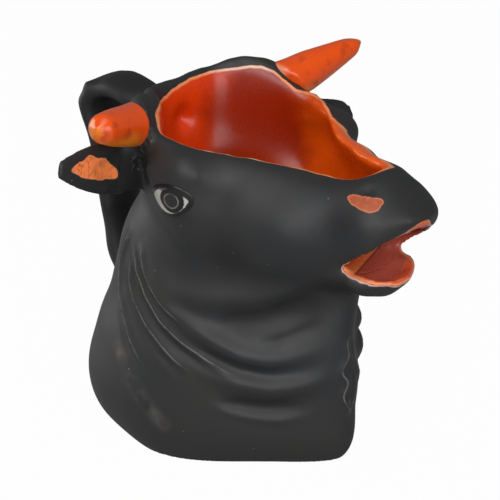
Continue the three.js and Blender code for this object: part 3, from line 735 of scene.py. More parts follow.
class Skin:
    """The points of one mesh in millimetres, and the hand work done on them."""

    def __init__(self, piece: bpy.types.Object) -> None:
        """Read the mesh's points, edges and normals."""
        self.piece = piece
        self.mesh = piece.data
        count = len(self.mesh.vertices)
        flat = np.empty(count * 3)
        self.mesh.vertices.foreach_get("co", flat)
        self.points = flat.reshape(-1, 3) / MM
        ends = np.empty(len(self.mesh.edges) * 2, dtype=np.int64)
        self.mesh.edges.foreach_get("vertices", ends)
        self.ends = ends.reshape(-1, 2)
        self.degree = np.bincount(ends, minlength=count)
        self.normals = np.empty((count, 3))
        self.settle()

    def settle(self) -> None:
        """Write the points back to the mesh and read its new normals."""
        self.mesh.vertices.foreach_set("co", (self.points * MM).ravel())
        self.mesh.update()
        flat = np.empty(len(self.points) * 3)
        self.mesh.vertex_normals.foreach_get("vector", flat)
        self.normals = flat.reshape(-1, 3)

    def tree(self) -> BVHTree:
        """Return a search tree of the faces, in millimetres."""
        faces = [tuple(face.vertices) for face in self.mesh.polygons]
        return BVHTree.FromPolygons([tuple(point) for point in self.points], faces)

    def around(self, values: np.ndarray) -> np.ndarray:
        """Average each point's neighbours.

        Args:
            values: One row for each point.

        Returns:
            The averages, a row for each point.
        """
        first, second = self.ends[:, 0], self.ends[:, 1]
        count = len(self.points)
        columns = []
        for column in np.atleast_2d(values.T):
            total = np.bincount(first, weights=column[second], minlength=count)
            total += np.bincount(second, weights=column[first], minlength=count)
            columns.append(total / self.degree)
        return np.array(columns).T.reshape(values.shape)

    def flowed(self, values: np.ndarray, rounds: int, share: Union[float, np.ndarray]) -> np.ndarray:
        """Let values flow into their neighbours.

        Args:
            values: One row for each point.
            rounds: How many times they flow.
            share: How far each moves in a round, for all or for each point.

        Returns:
            The evened values.
        """
        rate = share[:, None] if isinstance(share, np.ndarray) and values.ndim == 2 else share
        for _ in range(rounds):
            values = values + rate * (self.around(values) - values)
        return values

    def even(self, rounds: int, share: Union[float, np.ndarray]) -> None:
        """Even out the points without shrinking the form: what the flow takes away is evened and put back.

        Args:
            rounds: How many times the points flow.
            share: How far each moves in a round, for all or for each point.
        """
        soft = self.flowed(self.points, rounds, share)
        self.points = soft + self.flowed(self.points - soft, rounds, share)

    def feature(self, low: float, high: float, rings: int) -> np.ndarray:
        """Find the sharp places, such as rims and lips.

        Args:
            low: The bend, in millimetres off the neighbours' mean, that still counts as plain.
            high: The bend that counts as sharp.
            rings: How many points the sharp places are widened by.

        Returns:
            1 at sharp places, 0 on broad skin, for each point.
        """
        bend = np.linalg.norm(self.around(self.points) - self.points, axis=1)
        sharp = eased(bend, low, high)
        first, second = self.ends[:, 0], self.ends[:, 1]
        for _ in range(rings):
            wide = sharp.copy()
            np.maximum.at(wide, first, sharp[second])
            np.maximum.at(wide, second, sharp[first])
            sharp = wide
        return self.flowed(sharp, rings * 2, FLOW)

    def between(self, facing: np.ndarray) -> np.ndarray:
        """Grade the skin across a rim, from 0 on the outside to 1 on the inside.

        Args:
            facing: 1 where a point faces out and -1 where it faces in, with all between on the rim.

        Returns:
            The grade of each point.
        """
        grade = (facing < 0.0).astype(float)
        free = (np.abs(facing) < RIM_FACING).astype(float)
        return self.flowed(grade, RIM_ROUNDS, free)

    def carry(self, mark: AnyMark, values: np.ndarray) -> None:
        """Store a number for each point under a mark that the glazes read."""
        layer = self.mesh.attributes.new(mark.value, "FLOAT", "POINT")
        layer.data.foreach_set("value", values.astype(np.float32))

    def press(self, thumbs: list[Thumb]) -> None:
        """Push the skin by the thumb in some places.

        Args:
            thumbs: The pulls, worked out.
        """
        shift = np.zeros_like(self.points)
        for thumb in thumbs:
            away = np.linalg.norm(self.points - thumb.place, axis=1)
            shift += np.exp(-((away / thumb.radius) ** 2))[:, None] * thumb.shift
        self.points += shift
        self.settle()

    def fit(self) -> None:
        """Keep every point inside the box of the solid model."""
        low, high = (np.array(corner) / MM for corner in CAD_BOX)
        self.points = np.clip(self.points, low + BOX_MARGIN, high - BOX_MARGIN)
        self.settle()

    def values(self, mark: AnyMark) -> np.ndarray:
        """Return the number that each point carries under a mark."""
        values = np.empty(len(self.points), dtype=np.float32)
        self.mesh.attributes[mark.value].data.foreach_get("value", values)
        return values

    def off_line(self, line: np.ndarray) -> np.ndarray:
        """Measure how far each point is from a line.

        Args:
            line: Rows of x, y, z in millimetres.

        Returns:
            The distances.
        """
        near = np.full(len(self.points), np.inf)
        for start, end in zip(line[:-1], line[1:]):
            away, run = self.points - start, end - start
            along = np.clip(away @ run / (run @ run), 0.0, 1.0)
            near = np.minimum(near, np.linalg.norm(away - along[:, None] * run, axis=1))
        return near

    def mound(self, middle: np.ndarray, normal: np.ndarray, mound: Mound) -> np.ndarray:
        """Raise a round swelling on the skin, which falls to about a third at its radius.

        Args:
            middle: Its middle in millimetres.
            normal: The skin's normal there.
            mound: Its size.

        Returns:
            How far each point moves along its normal.
        """
        away = np.linalg.norm(self.points - middle, axis=1)
        facing = eased(self.normals @ normal, *MOUND_FACING)
        return mound.height * np.exp(-((away / mound.radius) ** 2)) * facing

    def stroke(self, line: np.ndarray, stroke: Stroke, crest: np.ndarray) -> np.ndarray:
        """Raise or press a line of relief on the skin.

        Args:
            line: The line's points in millimetres.
            stroke: Its size and shape.
            crest: Each point's distance to the nearest crest and that crest's strength, brought up to
                date here.

        Returns:
            How far each point moves along its normal.
        """
        reach = STROKE_REACH * stroke.width + STROKE_SPARE
        low, high = line.min(axis=0) - reach, line.max(axis=0) + reach
        near = np.flatnonzero(((self.points > low) & (self.points < high)).all(axis=1))
        best = np.full(len(near), FAR_OFF)
        side = np.zeros(len(near))
        share = np.zeros(len(near))
        for step in range(len(line) - 1):
            start, run = line[step], line[step + 1] - line[step]
            away = self.points[near] - start
            along = np.clip(away @ run / (run @ run + TINY), 0.0, 1.0)
            off = away - along[:, None] * run
            gap = np.linalg.norm(off, axis=1)
            closer = gap < best
            best[closer] = gap[closer]
            turn = np.cross(run, self.normals[near])
            side[closer] = np.sign((off * turn).sum(axis=1))[closer]
            share[closer] = ((step + along) / (len(line) - 1))[closer]
        taper = eased(share, 0.0, stroke.swells_by) * (1.0 - eased(share, stroke.fades_from, 1.0))
        signed = best * side / stroke.width
        shape = np.exp(-(signed ** 2))
        if stroke.profile is Profile.FOLD:
            shape = shape - FURROW_DEPTH * np.exp(-((signed - FURROW_ASIDE) ** 2))
        push = np.zeros(len(self.points))
        push[near] = stroke.height * shape * taper
        if stroke.crest:
            closer = best < np.abs(crest[near, 0])
            crest[near[closer], 0] = (best * side)[closer]
            crest[near[closer], 1] = (taper * (1.0 - eased(best, *CREST_FADE)))[closer]
        return push


def pick(*pieces: bpy.types.Object) -> None:
    """Select some pieces and nothing else, with the first one active."""
    bpy.ops.object.select_all(action="DESELECT")
    for piece in pieces:
        piece.select_set(True)
    bpy.context.view_layer.objects.active = pieces[0]


def rename(piece: bpy.types.Object, name: str) -> None:
    """Give a piece and its mesh one name."""
    piece.name = name
    piece.data.name = name


@contextmanager
def all_in_edit(piece: bpy.types.Object) -> Iterator[None]:
    """Open a piece in edit mode with everything selected, and close it again."""
    bpy.context.view_layer.objects.active = piece
    bpy.ops.object.mode_set(mode="EDIT")
    bpy.ops.mesh.select_all(action="SELECT")
    yield
    bpy.ops.object.mode_set(mode="OBJECT")


def copy_of(nodes: tuple[str, ...], name: str) -> bpy.types.Object:
    """Join merged copies of some of the model's nodes in one new mesh.

    Args:
        nodes: The nodes' names.
        name: The new piece's name.

    Returns:
        The new piece, active and the only one selected.
    """
    copies = []
    for node in nodes:
        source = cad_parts[node]
        piece = bpy.data.objects.new(name, source.data.copy())
        piece.matrix_world = source.matrix_world
        bpy.context.scene.collection.objects.link(piece)
        copies.append(piece)
    pick(*copies)
    if len(copies) > 1:
        bpy.ops.object.join()
    piece = bpy.context.view_layer.objects.active
    bpy.ops.object.transform_apply(location=True, rotation=True, scale=True)
    with all_in_edit(piece):
        bpy.ops.mesh.remove_doubles(threshold=MERGE_GAP * MM)
        bpy.ops.mesh.normals_make_consistent(inside=False)
    rename(piece, name)
    piece.data.materials.clear()
    return piece


def swell(piece: bpy.types.Object, by_mm: float) -> None:
    """Move every face of a piece outwards.

    Args:
        piece: The piece, which is made active.
        by_mm: How far.
    """
    with all_in_edit(piece):
        bpy.ops.transform.shrink_fatten(value=by_mm * MM, use_even_offset=True)


def hull_of(node: str) -> bpy.types.Object:
    """Copy one of the model's nodes and wrap it in its convex hull.

    Args:
        node: The node's name.

    Returns:
        The hull, active and the only one selected.
    """
    solid = copy_of((node,), node)
    with all_in_edit(solid):
        bpy.ops.mesh.convex_hull()
    return solid


def apply(piece: bpy.types.Object, kind: str, settings: dict) -> None:
    """Add a modifier to a piece and apply it.

    Args:
        piece: The piece, which is made active.
        kind: The modifier's type.
        settings: Its values by name.
    """
    bpy.context.view_layer.objects.active = piece
    modifier = piece.modifiers.new(kind.lower(), kind)
    for name, value in settings.items():
        setattr(modifier, name, value)
    bpy.ops.object.modifier_apply(modifier=modifier.name)


def tree_of(*nodes: str) -> BVHTree:
    """Return a search tree, in millimetres, of some of the model's nodes."""
    points: list[Vector] = []
    faces: list[tuple[int, ...]] = []
    for node in nodes:
        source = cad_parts[node]
        start = len(points)
        points += [source.matrix_world @ vertex.co / MM for vertex in source.data.vertices]
        faces += [tuple(start + corner for corner in face.vertices) for face in source.data.polygons]
    return BVHTree.FromPolygons(points, faces)


def hand_over(piece: bpy.types.Object, glaze: bpy.types.Material, nodes: tuple[str, ...]) -> None:
    """Glaze a finished piece, tie it to the root and hide the model's nodes that it stands for.

    Args:
        piece: The piece.
        glaze: Its material.
        nodes: The model's nodes that it replaces.
    """
    piece.data.materials.append(glaze)
    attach(piece, "root")
    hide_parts(*nodes)
    LOG.info("%s is glazed", piece.name)


def inside_by(pixels: np.ndarray, corners: np.ndarray) -> np.ndarray:
    """Measure how far inside an outline on the photograph some places lie.

    Args:
        pixels: The places, rows of x, y.
        corners: The outline's corners in order.

    Returns:
        Pixels from the edge, more than 0 inside.
    """
    inside = np.zeros(len(pixels), dtype=bool)
    gap = np.full(len(pixels), np.inf)
    for start, end in zip(corners, np.roll(corners, -1, axis=0)):
        away, run = pixels - start, end - start
        along = np.clip(away @ run / (run @ run), 0.0, 1.0)
        gap = np.minimum(gap, np.linalg.norm(away - along[:, None] * run, axis=1))
        spans = (start[1] > pixels[:, 1]) != (end[1] > pixels[:, 1])
        rise = run[1] if run[1] != 0 else np.inf
        inside ^= spans & (away[:, 0] < away[:, 1] * run[0] / rise)
    return np.where(inside, gap, -gap)


@dataclass(frozen=True)
class Cut:
    """Where a piece was luted on: a plane through a place, cutting only the faces near it."""

    place: Place
    normal: Place
    reach: float


@dataclass(frozen=True)
class Zone:
    """A ball of skin round a place, up to a height, mirrored to the far side."""

    place: Place
    radius: float
    top: float

    def share(self, points: np.ndarray) -> np.ndarray:
        """Return how much each point belongs to the zone, 0 to 1."""
        middle = np.array([self.place])
        share = np.zeros(len(points))
        for spot in (middle, mirrored(middle)):
            away = np.linalg.norm(points - spot, axis=1)
            share = np.maximum(share, 1.0 - eased(away, ZONE_CORE * self.radius, self.radius))
        return share * (1.0 - eased(points[:, 2], self.top - ZONE_FADE, self.top))


# In millimetres: how far points stay inside the solids' box, what gap is merged, and a cut plane's thickness
BOX_MARGIN = 0.01
MERGE_GAP = 0.002
CUT_SLACK = 0.0001

# Guards for lengths: shorter than any that matters, too small to count, and farther than any
LEAST_LENGTH = 0.01
TINY = 1e-9
FAR_OFF = 1e9

# How far a point moves to its neighbours' mean in one round, and the bend that makes a place sharp
FLOW = 0.6
SOFT_FLOW = 0.5
SHARP_BEND = (0.055, 0.1)
SHARP_RINGS = 3

# Relief: a stroke's reach in its own widths and then in millimetres, the furrow beside a fold in shares of
# the fold's height and width, and how squarely the skin must face a mound's middle to rise with it
STROKE_REACH = 3.5
STROKE_SPARE = 1.0
FURROW_DEPTH = 0.8
FURROW_ASIDE = 1.6
MOUND_FACING = (0.0, 0.5)

# Smoothing: where the solids' flats are all that bends the skin, and where the brow and eye, the horn's
# boss and the upper lip melt into the skin round them, with the rounds that each takes
ZONE_CORE = 0.65
ZONE_FADE = 3.0
NECK_CALM_FOOT = (6.0, 11.0)
NECK_CALM_TOP = (46.0, 54.0)
CALM = (Zone((2.0, -36.0, 88.0), 17.0, 96.0), Zone((5.0, -36.0, 70.0), 14.0, 96.0))
MELTS = (
    (Zone((4.0, -36.5, 86.0), 15.0, 94.5), 60),
    (Zone((-12.5, -33.0, 107.5), 7.5, 130.0), 30),
    (Zone((58.0, -8.0, 80.0), 8.0, 120.0), 10),
)
INNER_CALM = (-0.2, -0.5)
INNER_ROUNDS = 3

# The strap is a little wider than it was cast, its upright stands nearer to the neck, and its black is
# painted with shade as dark as that painted in a hollow
STRAP_FROM = (-37.0, -46.0)
STRAP_WIDEN = 0.25
STRAP_NEARER = 1.2
STRAP_TOP = (80.0, 95.0)
STRAP_FOOT = (50.0, 62.0)
STRAP_PAINTED_SHADE = 1.2

# Painted edges: shares of the way across the rim's top, and what counts as that top
CROWN_AXIS = (-8.0, 44.0)
CROWN_BACK = (-24.0, -8.0)
CROWN_EDGE_BACK = 0.72
CROWN_EDGE_RIGHT = 0.72
CROWN_EDGE_LEFT = 0.18
CROWN_TURN = 8.0
RIM_TOP = 4.6
RIM_FACING = 0.6
RIM_ROUNDS = 60
LINING_REACH = 3.2
LINING_LOW = 24.0
MARK_LIMIT = 3.0
MOUTH_BACK = (42.5, MIDDLE_Y, 66.5)
MOUTH_FRONT = (66.0, MIDDLE_Y, 74.0)
MOUTH_REACH = 18.0
MOUTH_SLOPE = (MOUTH_FRONT[2] - MOUTH_BACK[2]) / (MOUTH_FRONT[0] - MOUTH_BACK[0])
MOUTH_LEVEL = MOUTH_BACK[2] - MOUTH_SLOPE * MOUTH_BACK[0]
UPPER_LIP_EDGE = 0.9
LOWER_LIP_EDGE = 0.3
UPPER_LIP_THIN = 4.0
LIP_TOP = 3.0
LIP_TURN = 1.0
LIP_ROLL = (
    (56.4, MIDDLE_Y, 61.0), (56.3, 3.0, 61.1), (55.6, 7.4, 61.3), (53.4, 11.0, 61.8), (50.8, 12.8, 62.4),
    (47.4, 13.2, 63.4), (43.5, 12.2, 63.6),
)
LIP_ROLL_RADIUS = 1.3
LIP_ROLL_ROUND = 4
LIP_ROLL_ORDER = 4
LIP_PALE = 2.5
# How far the painted highlight streak along the shoulder reaches
PAINTED_SHEEN_WIDE = 4.0
GRAIN_PATH = ((141, 116), (144, 140), (143, 166))
GRAIN_WIDE = 4.5
CREST_FAR = 9.0
CREST_FADE = (0.9, 1.8)
CREST_EVENED = 2.5
CREST_ROUNDS = 2

# Lines drawn by pixels: the pixels from point to point, the fewest points, and the jump in millimetres
# that leaves a point out
TRAIL_STEP = 4
TRAIL_LEAST = 8
TRAIL_GAP = 7.0

# What counts as in the camera's sight
SIGHT_SLACK = 1.5
SIGHT_ROUNDS = 4
SIGHT_SHARE = 0.03

# The near eye's middle on the photograph, and how far above the skin its points are dropped from
EYE_PIXEL = (169, 200)
EYE_SEARCH = 6.0

# Dabs of orange and the edge of the crown's lining, drawn by pixels of the photograph
EAR_DAB = Outline((
    (70, 171), (76, 164), (84, 160), (89, 155), (96, 158), (105, 158), (113, 165), (121, 174), (114, 179),
    (99, 180), (82, 178),
), reach=14.0)
NOSTRIL_DAB = Outline((
    (347, 197), (351, 194), (358, 195), (368, 197), (376, 197), (383, 200), (384, 204), (378, 211),
    (370, 213), (360, 210), (351, 205),
), reach=9.0, far_drop=4.0)
SILL_DAB = Outline(((336, 272), (384, 237), (380, 246), (353, 277)), reach=18.0)
CROWN_PAINT = Outline((
    (156, 112), (110, 200), (110, 460), (440, 460), (410, 180), (396, 168), (380, 155), (353, 136),
    (333, 117), (323, 99), (313, 93), (296, 89), (275, 71), (262, 66), (250, 65), (210, 71), (190, 78),
    (172, 89), (160, 101),
), reach=90.0)
CROWN_LOW = 78.0
CROWN_ROUNDS = 40

# Thumb work that brings the outline to the photograph's
PULLS = (
    Pull((340, 446), (345, 449), 10.0),
    Pull((318, 455), (320, 459), 12.0),
    Pull((150, 440), (148, 443), 13.0),
    Pull((172, 449), (170, 453), 13.0),
    Pull((205, 457), (204, 459), 13.0),
    Pull((388, 291), (388, 295), 4.5),
    Pull((297, 76), (292, 80), 4.0),
    Pull((113, 256), (109, 256), 8.0),
    Pull((350, 130), (356, 130), 8.0),
    Pull((354, 105), (349, 108), 4.0),
    Pull((362, 148), (368, 148), 6.0),
    Pull((360, 335), (355, 335), 8.0),
    Pull((400, 172), (400, 169), 8.0),
    Pull((385, 164), (385, 161), 7.0),
    Pull((432, 220), (436, 220), 6.0),
    Pull((91, 80), (94, 84), 6.0),
    Pull((88, 101), (84, 101), 9.0),
    Pull((168, 126), (160, 131), 7.0),
    Pull((300, 166), (300, 170), 9.0),
    Pull((335, 173), (335, 177), 9.0),
    Pull((255, 68), (255, 59), 9.0),
    Pull((228, 69), (228, 64), 8.0),
    Pull((200, 74), (200, 70), 8.0),
    Pull((364, 330), (356, 330), 9.0),
    Pull((365, 354), (361, 354), 9.0),
    Pull((364, 390), (359, 390), 9.0),
)

# Swellings, hollows, folds and fine ridges of the hide
MOUNDS = (
    Mound((182, 170), 4.5, 1.2),
    Mound((208, 174), 4.5, 0.7),
    Mound((216, 198), 6.0, -1.0),
    Mound((286, 238), 7.0, 1.2),
    Mound((228, 258), 9.0, -1.0),
    Mound((184, 246), 7.0, 0.8),
    Mound((300, 318), 8.0, -0.8),
    Mound((368, 191), 2.0, -0.7),
    Mound((335, 225), 7.0, -0.8),
    Mound((185, 119), 3.5, -1.6),
)
LIDS = (
    ((151, 196), (157, 189), (167, 185), (178, 187), (187, 194), (193, 205)),
    ((155, 202), (163, 210), (173, 214), (184, 214), (193, 208)),
)
FAN = (
    ((131, 212), (131, 229), (122, 257), (120, 288), (124, 313), (130, 338), (138, 357), (147, 372)),
    ((130, 257), (130, 279), (135, 301), (147, 326), (163, 347), (177, 363), (192, 374)),
    ((132, 241), (138, 272), (147, 297), (161, 322), (183, 344), (205, 360), (227, 372), (242, 377)),
    ((139, 240), (148, 275), (165, 303), (185, 325)),
)
DEWLAP = (
    (350, 333), (346, 344), (349, 357), (344, 366), (340, 374), (349, 381), (345, 391), (341, 397),
    (347, 405), (352, 422),
)
JAW_FOLD = (
    (142, 235), (157, 269), (174, 291), (199, 298), (227, 301), (255, 299), (280, 293), (305, 285),
    (330, 278),
)
JAW_HOLLOW = ((195, 316), (220, 319), (264, 320), (292, 313), (317, 305), (340, 294))
THROAT_FOLD = (
    (138, 238), (147, 266), (160, 291), (177, 313), (196, 330), (220, 345), (240, 356), (262, 361),
    (284, 360), (317, 350), (342, 335),
)
THROAT_CREASE = ((172, 331), (186, 345), (214, 359), (236, 369), (267, 376), (299, 374), (330, 366))
THROAT_LINE = ((255, 346), (275, 343), (299, 335), (330, 319))
NECK_FOLD = ((190, 364), (211, 373), (242, 383), (274, 388), (311, 383), (330, 376), (342, 366))
NECK_CREASE = ((205, 398), (236, 405), (267, 409), (299, 405), (327, 397))
LOW_FOLD = ((205, 404), (230, 413), (255, 418), (280, 420), (299, 418), (314, 412))
SHOULDER = ((117, 347), (124, 363), (130, 383), (142, 398), (153, 415), (163, 424))
STROKES = (
    *(Stroke(path, 1.1, 0.55) for path in LIDS),
    *(Stroke(path, 1.25, 0.85, Profile.FOLD, True, 0.2, 0.75) for path in FAN),
    Stroke(DEWLAP, 1.1, 0.5, crest=True, swells_by=0.15, fades_from=0.8),
    Stroke(JAW_FOLD, 3.6, 1.5, fades_from=0.7),
    Stroke(JAW_HOLLOW, 5.0, -1.7),
    Stroke(THROAT_LINE, 1.6, -0.7),
    Stroke(THROAT_FOLD, 3.0, 2.0, fades_from=0.6),
    Stroke(THROAT_CREASE, 2.6, -1.6),
    Stroke(NECK_FOLD, 3.2, 1.7, fades_from=0.6),
    Stroke(NECK_CREASE, 3.2, -1.5),
    Stroke(LOW_FOLD, 1.4, 0.9),
    Stroke(SHOULDER, 2.6, 0.6),
)

# The joints that the skin is parted at, what tells the parted pieces by their middles, and the fewest points
# of a piece
EARS = ("ear_left", "ear_right", "ear_glaze_left", "ear_glaze_right")
EAR_SWELL = 0.35
BODY_SWELL = 0.2
HANDLE_BEHIND = -45.0
EAR_OUT = 30.0
LIP_AHEAD = 45.0
CRUMB_POINTS = 400
EAR_LEFT_JOINT = Cut((-14.0, 39.7, 84.0), (0.2, 1.0, 0.05), 12.0)
EAR_RIGHT_JOINT = Cut((-14.0, -39.2, 86.5), (0.2, -1.0, 0.2), 12.0)
HANDLE_TOP_JOINT = Cut((-38.0, 0.2, 93.0), (-1.0, 0.0, 0.15), 13.0)
HANDLE_HEEL_JOINT = Cut((-59.0, 0.2, 53.0), (0.0, 0.0, 1.0), 11.0)
LIP_JOINT = Cut((47.6, 0.2, 61.0), (1.0, 0.0, -0.25), 17.0)

# The model's nodes that each piece of the parted skin stands for
STANDS_FOR = {
    "head_shell": ("head_body", "liner_glaze", "nostril_glaze_left", "nostril_glaze_right"),
    "lower_lip": ("lower_jaw", "lip_glaze"),
    "strap_handle": ("handle",),
    "ear_of_left": ("ear_left", "ear_glaze_left"),
    "ear_of_right": ("ear_right", "ear_glaze_right"),
}


def lip_path() -> np.ndarray:
    """Return the lower lip's edge from one corner of the mouth to the other, in millimetres."""
    half = np.array(LIP_ROLL)
    return np.concatenate([half[::-1], mirrored(half)[1:]])


def lip_roll() -> bpy.types.Object:
    """Bend the rounded edge of the lower lip from one corner of the mouth to the other.

    Returns:
        The roll as a mesh, active and the only one selected.
    """
    path = lip_path()
    curve = bpy.data.curves.new("lip_roll", "CURVE")
    curve.dimensions = "3D"
    curve.bevel_depth = LIP_ROLL_RADIUS * MM
    curve.bevel_resolution = LIP_ROLL_ROUND
    curve.use_fill_caps = True
    spline = curve.splines.new("NURBS")
    spline.points.add(len(path) - 1)
    for point, place in zip(spline.points, path):
        point.co = (*(place * MM), 1.0)
    spline.use_endpoint_u = True
    spline.order_u = LIP_ROLL_ORDER
    roll = bpy.data.objects.new("lip_roll", curve)
    bpy.context.scene.collection.objects.link(roll)
    pick(roll)
    bpy.ops.object.convert(target="MESH")
    return bpy.context.view_layer.objects.active


def cast(parts: list[bpy.types.Object], name: str, voxel: float) -> bpy.types.Object:
    """Join some meshes and cast them as one closed skin.

    Args:
        parts: The meshes, which overlap.
        name: The new piece's name.
        voxel: The size of the skin's faces in millimetres.

    Returns:
        The piece.
    """
    pick(*parts)
    bpy.ops.object.join()
    piece = bpy.context.view_layer.objects.active
    rename(piece, name)
    apply(piece, "REMESH", {"mode": "VOXEL", "voxel_size": voxel * MM, "use_smooth_shade": True})
    return piece


def close(piece: bpy.types.Object) -> None:
    """Close a parted piece where it was cut, with a flat face and a crisp edge."""
    body = bmesh.new()
    body.from_mesh(piece.data)
    rim = [edge for edge in body.edges if edge.is_boundary]
    for edge in rim:
        edge.smooth = False
    for face in bmesh.ops.holes_fill(body, edges=rim, sides=0)["faces"]:
        face.smooth = False
    body.to_mesh(piece.data)
    body.free()


@dataclass(frozen=True)
class FinePiece:
    """A small piece cast again with finer faces, and laid on the coarse one at its joint."""

    name: str
    joint: Cut
    swell: float
    rolled: bool = False
    voxel: float = 0.5
    rounds: int = 14
    blend: float = 5.0

    def build(self, coarse: bpy.types.Object, thumbs: list[Thumb]) -> bpy.types.Object:
        """Cast the piece, trim it at its joint and copy the coarse one's marks.

        Args:
            coarse: The piece as it was parted from the whole skin, which is used up.
            thumbs: The thumb work done on the whole skin.

        Returns:
            The piece.
        """
        parts = [copy_of(STANDS_FOR[self.name], self.name)]
        swell(parts[0], self.swell)
        if self.rolled:
            parts.append(lip_roll())
        piece = cast(parts, f"{self.name}_fine", self.voxel)
        skin = Skin(piece)
        skin.even(self.rounds, SOFT_FLOW)
        skin.press(thumbs)
        self.trim(piece)
        skin = Skin(piece)
        self.lay_on(skin, Skin(coarse))
        skin.fit()
        bpy.data.objects.remove(coarse)
        rename(piece, self.name)
        close(piece)
        return piece

    def trim(self, piece: bpy.types.Object) -> None:
        """Cut away what lies behind the joint."""
        body = bmesh.new()
        body.from_mesh(piece.data)
        bmesh.ops.bisect_plane(
            body,
            geom=[*body.verts, *body.edges, *body.faces],
            plane_co=Vector(self.joint.place) * MM,
            plane_no=Vector(self.joint.normal).normalized(),
            dist=CUT_SLACK * MM,
            clear_inner=True,
        )
        body.to_mesh(piece.data)
        body.free()

    def lay_on(self, skin: Skin, coarse: Skin) -> None:
        """Bring the piece onto the coarse one near the joint, and copy its marks.

        Args:
            skin: The fine skin.
            coarse: The coarse skin.
        """
        tree = coarse.tree()
        normal = np.array(Vector(self.joint.normal).normalized())
        ahead = (skin.points - np.array(self.joint.place)) @ normal
        hold = 1.0 - eased(ahead, 0.0, self.blend)
        old = {mark: coarse.values(mark) for mark in Mark}
        new = {mark: np.empty(len(skin.points)) for mark in Mark}
        for index, point in enumerate(skin.points):
            place, _, face, _ = tree.find_nearest(Vector(point))
            corners = list(coarse.mesh.polygons[face].vertices)
            outline = [Vector(coarse.points[corner]) for corner in corners]
            shares = np.array(poly_3d_calc(outline, place))
            for mark in Mark:
                new[mark][index] = shares @ old[mark][corners]
            skin.points[index] += hold[index] * (np.array(place) - point)
        skin.settle()
        for mark in Mark:
            skin.carry(mark, new[mark])


FINE_PIECES = (
    FinePiece("ear_of_left", EAR_LEFT_JOINT, EAR_SWELL),
    FinePiece("ear_of_right", EAR_RIGHT_JOINT, EAR_SWELL),
    FinePiece("lower_lip", LIP_JOINT, BODY_SWELL, rolled=True),
)


